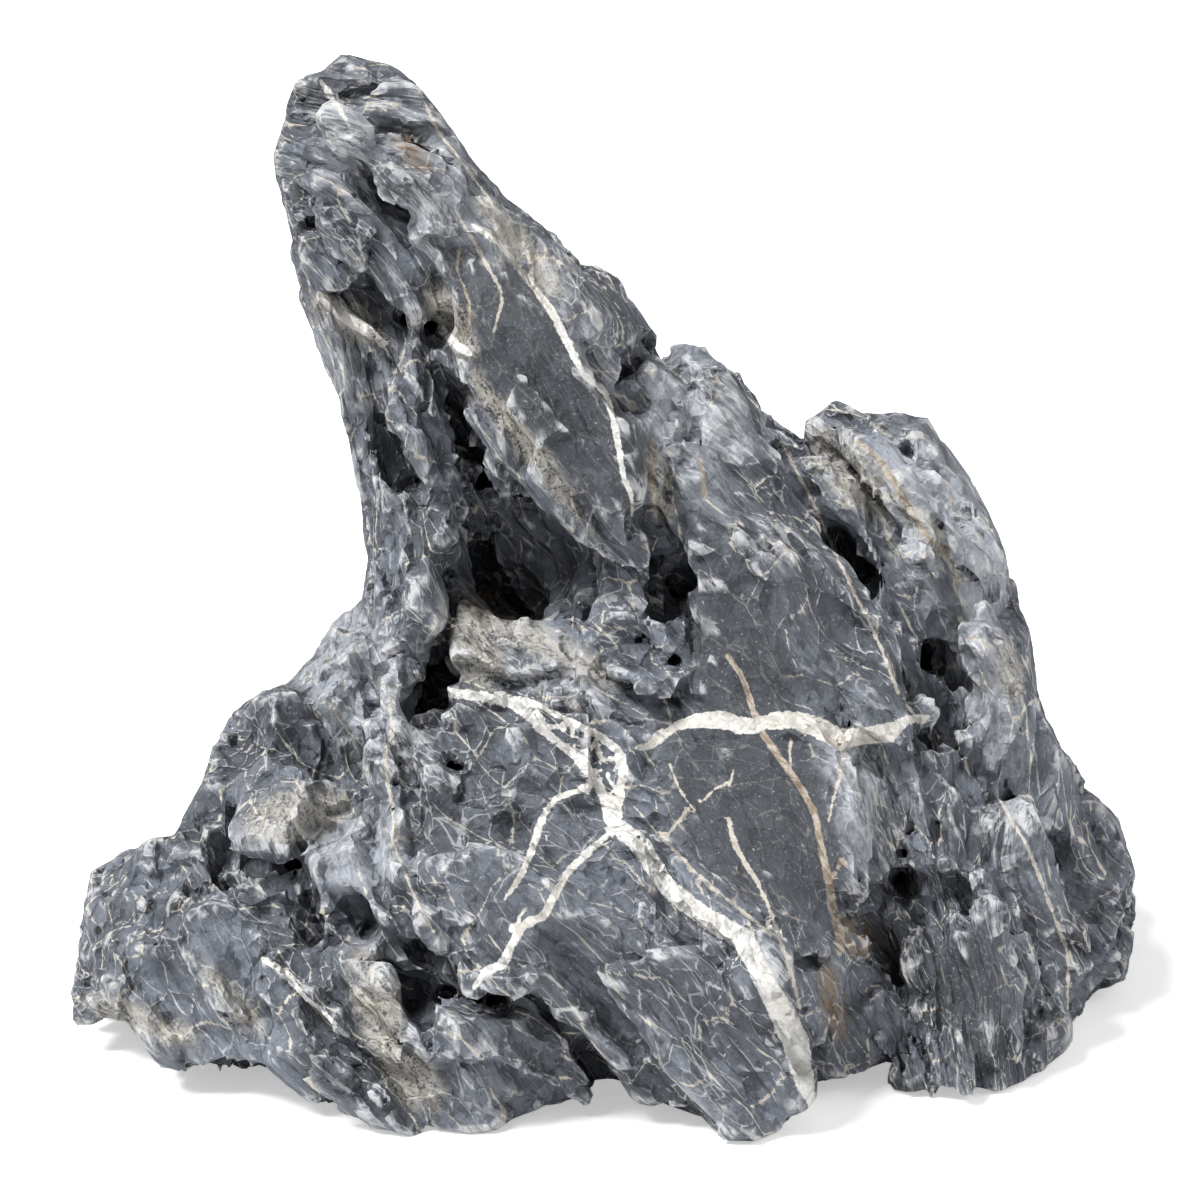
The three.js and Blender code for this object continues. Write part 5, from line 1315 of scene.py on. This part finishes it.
def new_group(name, inputs, outputs):
    """An empty shader group with named sockets, a recipe for it, and both its ends."""
    tree = bpy.data.node_groups.new(name, "ShaderNodeTree")
    for label, kind, value in inputs:
        socket = tree.interface.new_socket(label, in_out="INPUT", socket_type=kind)
        if value is not None:
            socket.default_value = value
    for label in outputs:
        tree.interface.new_socket(label, in_out="OUTPUT", socket_type=FLOAT)
    source = tree.nodes.new("NodeGroupInput")
    drain = tree.nodes.new("NodeGroupOutput")
    print("group", name, "gives", *outputs)
    return tree, Recipe(tree), source.outputs, drain.inputs


# %% [markdown]
# ### Hairs along the layers
# The finest calcite follows the layers. A line of equal value through smooth noise is thin and
# never ends abruptly, so a few such lines, kept in patches, draw it.

# %% Hairs along the layers
hairs, r, given, out = new_group("pale_hairs", [("Levels", VECTOR, None)], ["Mask"])
levels = r.parts(given["Levels"])
mask = 0.0
for level, width in ((levels["X"], 0.022), (levels["Y"], 0.028)):
    gap = r.math("ABSOLUTE", level)
    mask = r.math("MAXIMUM", r.between(gap, width, width * 0.2), mask)
r.feed(out["Mask"], r.times(mask, r.between(levels["Z"], 0.0, 0.35)))

# %% [markdown]
# ### Bowls and the crests between them
# Below the size of what is carved, the stone is covered in shallow bowls that meet in crests,
# and the crests are painted pale, partly as wear and partly as painted highlight on edges that
# catch the light. The distance to a cell's seed gives the bowls and the distance to its edge
# gives the crests, so that both always lie in the same place.

# %% Bowls and crests
bowls, r, given, out = new_group(
    "bowls_and_crests",
    [("Place", VECTOR, None), ("Size", FLOAT, 9.0), ("Width", FLOAT, 0.3), ("Vary", FLOAT, 1.0)],
    ["Height", "Crest"],
)
pattern = {"Vector": given["Place"], "Scale": r.math("DIVIDE", 1.0, given["Size"])}
to_seed = r.add("ShaderNodeTexVoronoi", pattern).outputs["Distance"]
r.feed(out["Height"], r.times(to_seed, to_seed, given["Size"]))
rims = r.add("ShaderNodeTexVoronoi", pattern, feature="DISTANCE_TO_EDGE")
to_edge = r.times(rims.outputs["Distance"], given["Size"])
width = r.times(given["Width"], given["Vary"])
r.feed(out["Crest"], r.between(to_edge, width, r.times(width, 0.25)))

# %% [markdown]
# ### Chipped facets
# Smaller still are flat chips. Each cell of a cell pattern becomes one facet by tilting it its
# own way, which gives the bump sharp steps.

# %% Facets for the bump
chips, r, given, out = new_group(
    "chipped_facets", [("Place", VECTOR, None), ("Size", FLOAT, 4.0)], ["Height"]
)
pattern = {"Vector": given["Place"], "Scale": r.math("DIVIDE", 1.0, given["Size"])}
cell = r.add("ShaderNodeTexVoronoi", pattern)
from_seed = r.vector("SUBTRACT", given["Place"], cell.outputs["Position"])
tilt = r.vector("SUBTRACT", cell.outputs["Color"], (0.5, 0.5, 0.5))
height = r.add("ShaderNodeVectorMath", {0: from_seed, 1: tilt}, operation="DOT_PRODUCT")
r.feed(out["Height"], height.outputs["Value"])

# %% [markdown]
# ### Chalked lines
# The mesh carries the offset to the nearest chalked line. Its length, less the half width and a
# ragged wobble, is below zero inside the vein. Between two lines the offset jumps, so nothing
# is drawn where the mesh says that there is room.

# %% Chalked lines
veins, r, given, out = new_group(
    "calcite_veins",
    [("Offset", VECTOR, None), ("Room", FLOAT, None), ("Wobble", FLOAT, None), ("Ragged", FLOAT, 2.0)],
    ["Mask"],
)
stored = r.parts(given["Offset"])
flat_offset = r.add("ShaderNodeCombineXYZ", {"X": stored["X"], "Y": stored["Y"]})
length = r.add("ShaderNodeVectorMath", {0: flat_offset.outputs[0]}, operation="LENGTH")
edge = r.math("ADD", length.outputs["Value"], r.times(given["Wobble"], given["Ragged"]))
in_line = r.between(r.math("SUBTRACT", edge, stored["Z"]), 0.12, -0.12)
r.feed(out["Mask"], r.times(in_line, r.between(given["Room"], 2.5, 1.5)))

# %% [markdown]
# ### The stone's palette
# The base is a slate blue-grey that changes little, from layer to layer and from plate to plate.
# The other colours are laid over it.

# %% The stone's material
DARK = (0.074, 0.082, 0.097, 1)
BODY = (0.168, 0.186, 0.22, 1)
LIT_GREY = (0.37, 0.39, 0.43, 1)
CLEFT = (0.048, 0.053, 0.062, 1)
PALE = (0.56, 0.57, 0.58, 1)
PAINTED_SHADE = (0.016, 0.015, 0.015, 1)
CALCITE = (0.74, 0.73, 0.70, 1)
OLD_CALCITE = (0.67, 0.64, 0.59, 1)
GRITTY = (0.40, 0.38, 0.36, 1)
CREAM = (0.62, 0.57, 0.49, 1)
CRUST = (0.44, 0.41, 0.36, 1)
RUST = (0.22, 0.16, 0.105, 1)
SEAM_DARK = (0.30, 0.23, 0.16, 1)
SEAM_PALE = (0.60, 0.53, 0.44, 1)

limestone = bpy.data.materials.new("veined_limestone")
limestone.use_nodes = True
limestone.node_tree.nodes.clear()
r = Recipe(limestone.node_tree)
surface = r.add("ShaderNodeBsdfPrincipled")
r.add("ShaderNodeOutputMaterial", {"Surface": surface.outputs["BSDF"]})
place = r.vector("SCALE", r.add("ShaderNodeTexCoord").outputs["Object"])
place.node.inputs["Scale"].default_value = 1 / MM
grain = r.stored("grain", "Vector")
bent = r.stored("bent", "Vector")
streaks = r.vector("MULTIPLY", grain, (1.0, 1.0, 0.45))
crest, hollow, fresh, rim = [r.stored(name) for name in ("crest", "hollow", "fresh", "rim")]
crust_here, rust_here, dust_here = r.parts(r.stored("stains", "Vector"))


def placed(group, **values):
    """The outputs of a shader group placed in the limestone with these inputs."""
    node = r.add("ShaderNodeGroup", node_tree=group)
    for name, value in values.items():
        r.feed(node.inputs[name], value)
    return node.outputs


broad = r.noise(grain, 0.05, 2.0, 0.55)
fine = r.noise(streaks, 0.55, 5.0, 0.65, 0.6)
grit = r.noise(place, 1.4, 3.0, 0.65)
# Crests lighten the base tone too, as painted highlight.
tone = r.weighed((fine, 0.6), (broad, 0.5), (crest, 0.45), (r.stored("plate"), 0.45))
colour = r.blend(r.between(tone, 0.38, 0.78), DARK, BODY)
# Painted light: lighter grey laid over the patches that should look lit.
colour = r.laid(colour, LIT_GREY, r.stored("painted_light"), r.between(tone, 0.26, 0.66), 0.85)
colour = r.laid(colour, CLEFT, fresh, 0.9)
print("base laid,", len(limestone.node_tree.nodes), "nodes")

# %% [markdown]
# ### Dirt, wear, painted highlight and painted shade over the base
# Pale grit and dust, beige crust and rust lie in patches, broken up by the noise of the layers.
# Sharp rims are painted pale, partly as wear and partly as painted highlight, and deep hollows are
# painted nearly black, as painted shade.

# %% Dirt, wear, painted highlight and painted shade
colour = r.laid(colour, PALE, r.between(grit, 0.62, 0.70), 0.45)
colour = r.laid(colour, PALE, dust_here, r.between(fine, 0.42, 0.62), 0.75)
crusty = r.between(r.math("ADD", fine, grit), 0.84, 1.0)
colour = r.laid(colour, CRUST, crust_here, crusty, 0.8)
colour = r.laid(colour, RUST, rust_here, r.between(fine, 0.35, 0.6))
# Rims and crests laid pale: partly wear, partly painted highlight on edges that catch the light.
rubbed_and_highlit = r.times(r.between(rim, 0.28, 0.65), r.between(fine, 0.38, 0.52))
bleached_and_highlit = r.times(r.between(crest, 0.14, 0.30), r.between(fine, 0.48, 0.60), 0.5)
colour = r.laid(colour, PALE, r.math("MAXIMUM", rubbed_and_highlit, bleached_and_highlit), 0.9)
# Painted shade: the hollows are laid nearly black.
colour = r.laid(colour, PAINTED_SHADE, r.between(hollow, 0.16, 0.36), 0.8)
print("dirt and wear laid,", len(limestone.node_tree.nodes), "nodes")

# %% [markdown]
# ### Lines of calcite
# From the finest to the widest: hairs, crests of bowls in two sizes, which are partly painted
# highlight, hairlines, rusty seams and the white main veins. Each set is drawn over the ones
# before. The fine ones fade out on cleaved faces and in hollows, where the painted shade stays dark.

# %% Fine lines
# Fine lines fade in hollows, so the painted shade stays dark, and on cleaved faces.
shown = r.times(r.between(hollow, 0.34, 0.16), r.rest(fresh, 0.85))
hair = placed(hairs, Levels=r.stored("levels", "Vector"))["Mask"]
colour = r.laid(colour, PALE, hair, shown, 0.6)
vary = r.times(r.between(fine, 0.42, 0.66), 2.0)
small = placed(bowls, Place=bent, Size=5.0, Width=0.16, Vary=vary)
large = placed(bowls, Place=bent, Size=13.0, Width=0.26, Vary=vary)
# Crests of bowls laid pale and cream: partly wear, partly painted highlight.
colour = r.laid(colour, PALE, small["Crest"], shown, r.between(broad, 0.60, 0.42), 0.75)
colour = r.laid(colour, CREAM, large["Crest"], shown, 0.85)
print("fine lines laid,", len(limestone.node_tree.nodes), "nodes")

# %% Seams and veins
wobble = r.math("SUBTRACT", r.noise(place, 0.5, 4.0, 0.65), 0.5)


def chalked(name, ragged):
    """The mask of one set of lines that was stored on the mesh."""
    offset, room = r.stored(name, "Vector"), r.stored(name + "_room")
    mask = placed(veins, Offset=offset, Room=room, Wobble=wobble, Ragged=ragged)["Mask"]
    # Lines fade in deep hollows, so the painted shade there stays dark.
    return r.times(mask, r.between(hollow, 0.42, 0.30))


colour = r.laid(colour, CREAM, chalked("hairline", 1.7), 0.8)
rusty_tint = r.blend(r.between(fine, 0.40, 0.60), SEAM_DARK, SEAM_PALE)
colour = r.laid(colour, rusty_tint, chalked("rusty", 1.4), 0.75)
vein = chalked("vein", 2.0)
vein_tint = r.blend(r.between(broad, 0.40, 0.60), CALCITE, OLD_CALCITE)
vein_tint = r.laid(vein_tint, GRITTY, r.between(grit, 0.58, 0.72), 0.5)
colour = r.laid(colour, vein_tint, vein)
r.feed(surface.inputs["Base Color"], colour)
r.feed(surface.inputs["Roughness"], r.math("SUBTRACT", 0.80, r.times(vein, 0.2)))
print("colour done,", len(limestone.node_tree.nodes), "nodes")

# %% [markdown]
# ### The fine relief
# What is too small to carve is bump: chips in two sizes and small bowls, weaker on the cleaved
# faces, and over all of it a ripple along the layers and a stipple of grit.

# %% Bump
coarse_chips = placed(chips, Place=bent, Size=5.5)["Height"]
fine_chips = placed(chips, Place=place, Size=2.2)["Height"]
broken_up = r.weighed((coarse_chips, 0.9), (fine_chips, 0.7), (small["Height"], 0.8))
ripple = r.noise(streaks, 0.4, 1.0, 0.5, 0.6)
stipple = r.noise(place, 0.9, 1.0, 0.5)
height = r.weighed((broken_up, r.rest(fresh, 0.6)), (ripple, 1.2), (stipple, 0.35))
bump = r.add("ShaderNodeBump", {"Height": height, "Strength": 1.0, "Distance": MM})
r.feed(surface.inputs["Normal"], bump.outputs["Normal"])
stone.data.materials.clear()
stone.data.materials.append(limestone)
print("limestone:", len(limestone.node_tree.nodes), "nodes")

# %% [markdown]
# ## Handing over
# The skin rides on the stone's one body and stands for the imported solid.

# %% Join the frame
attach(stone, "root")
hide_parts(NODE)
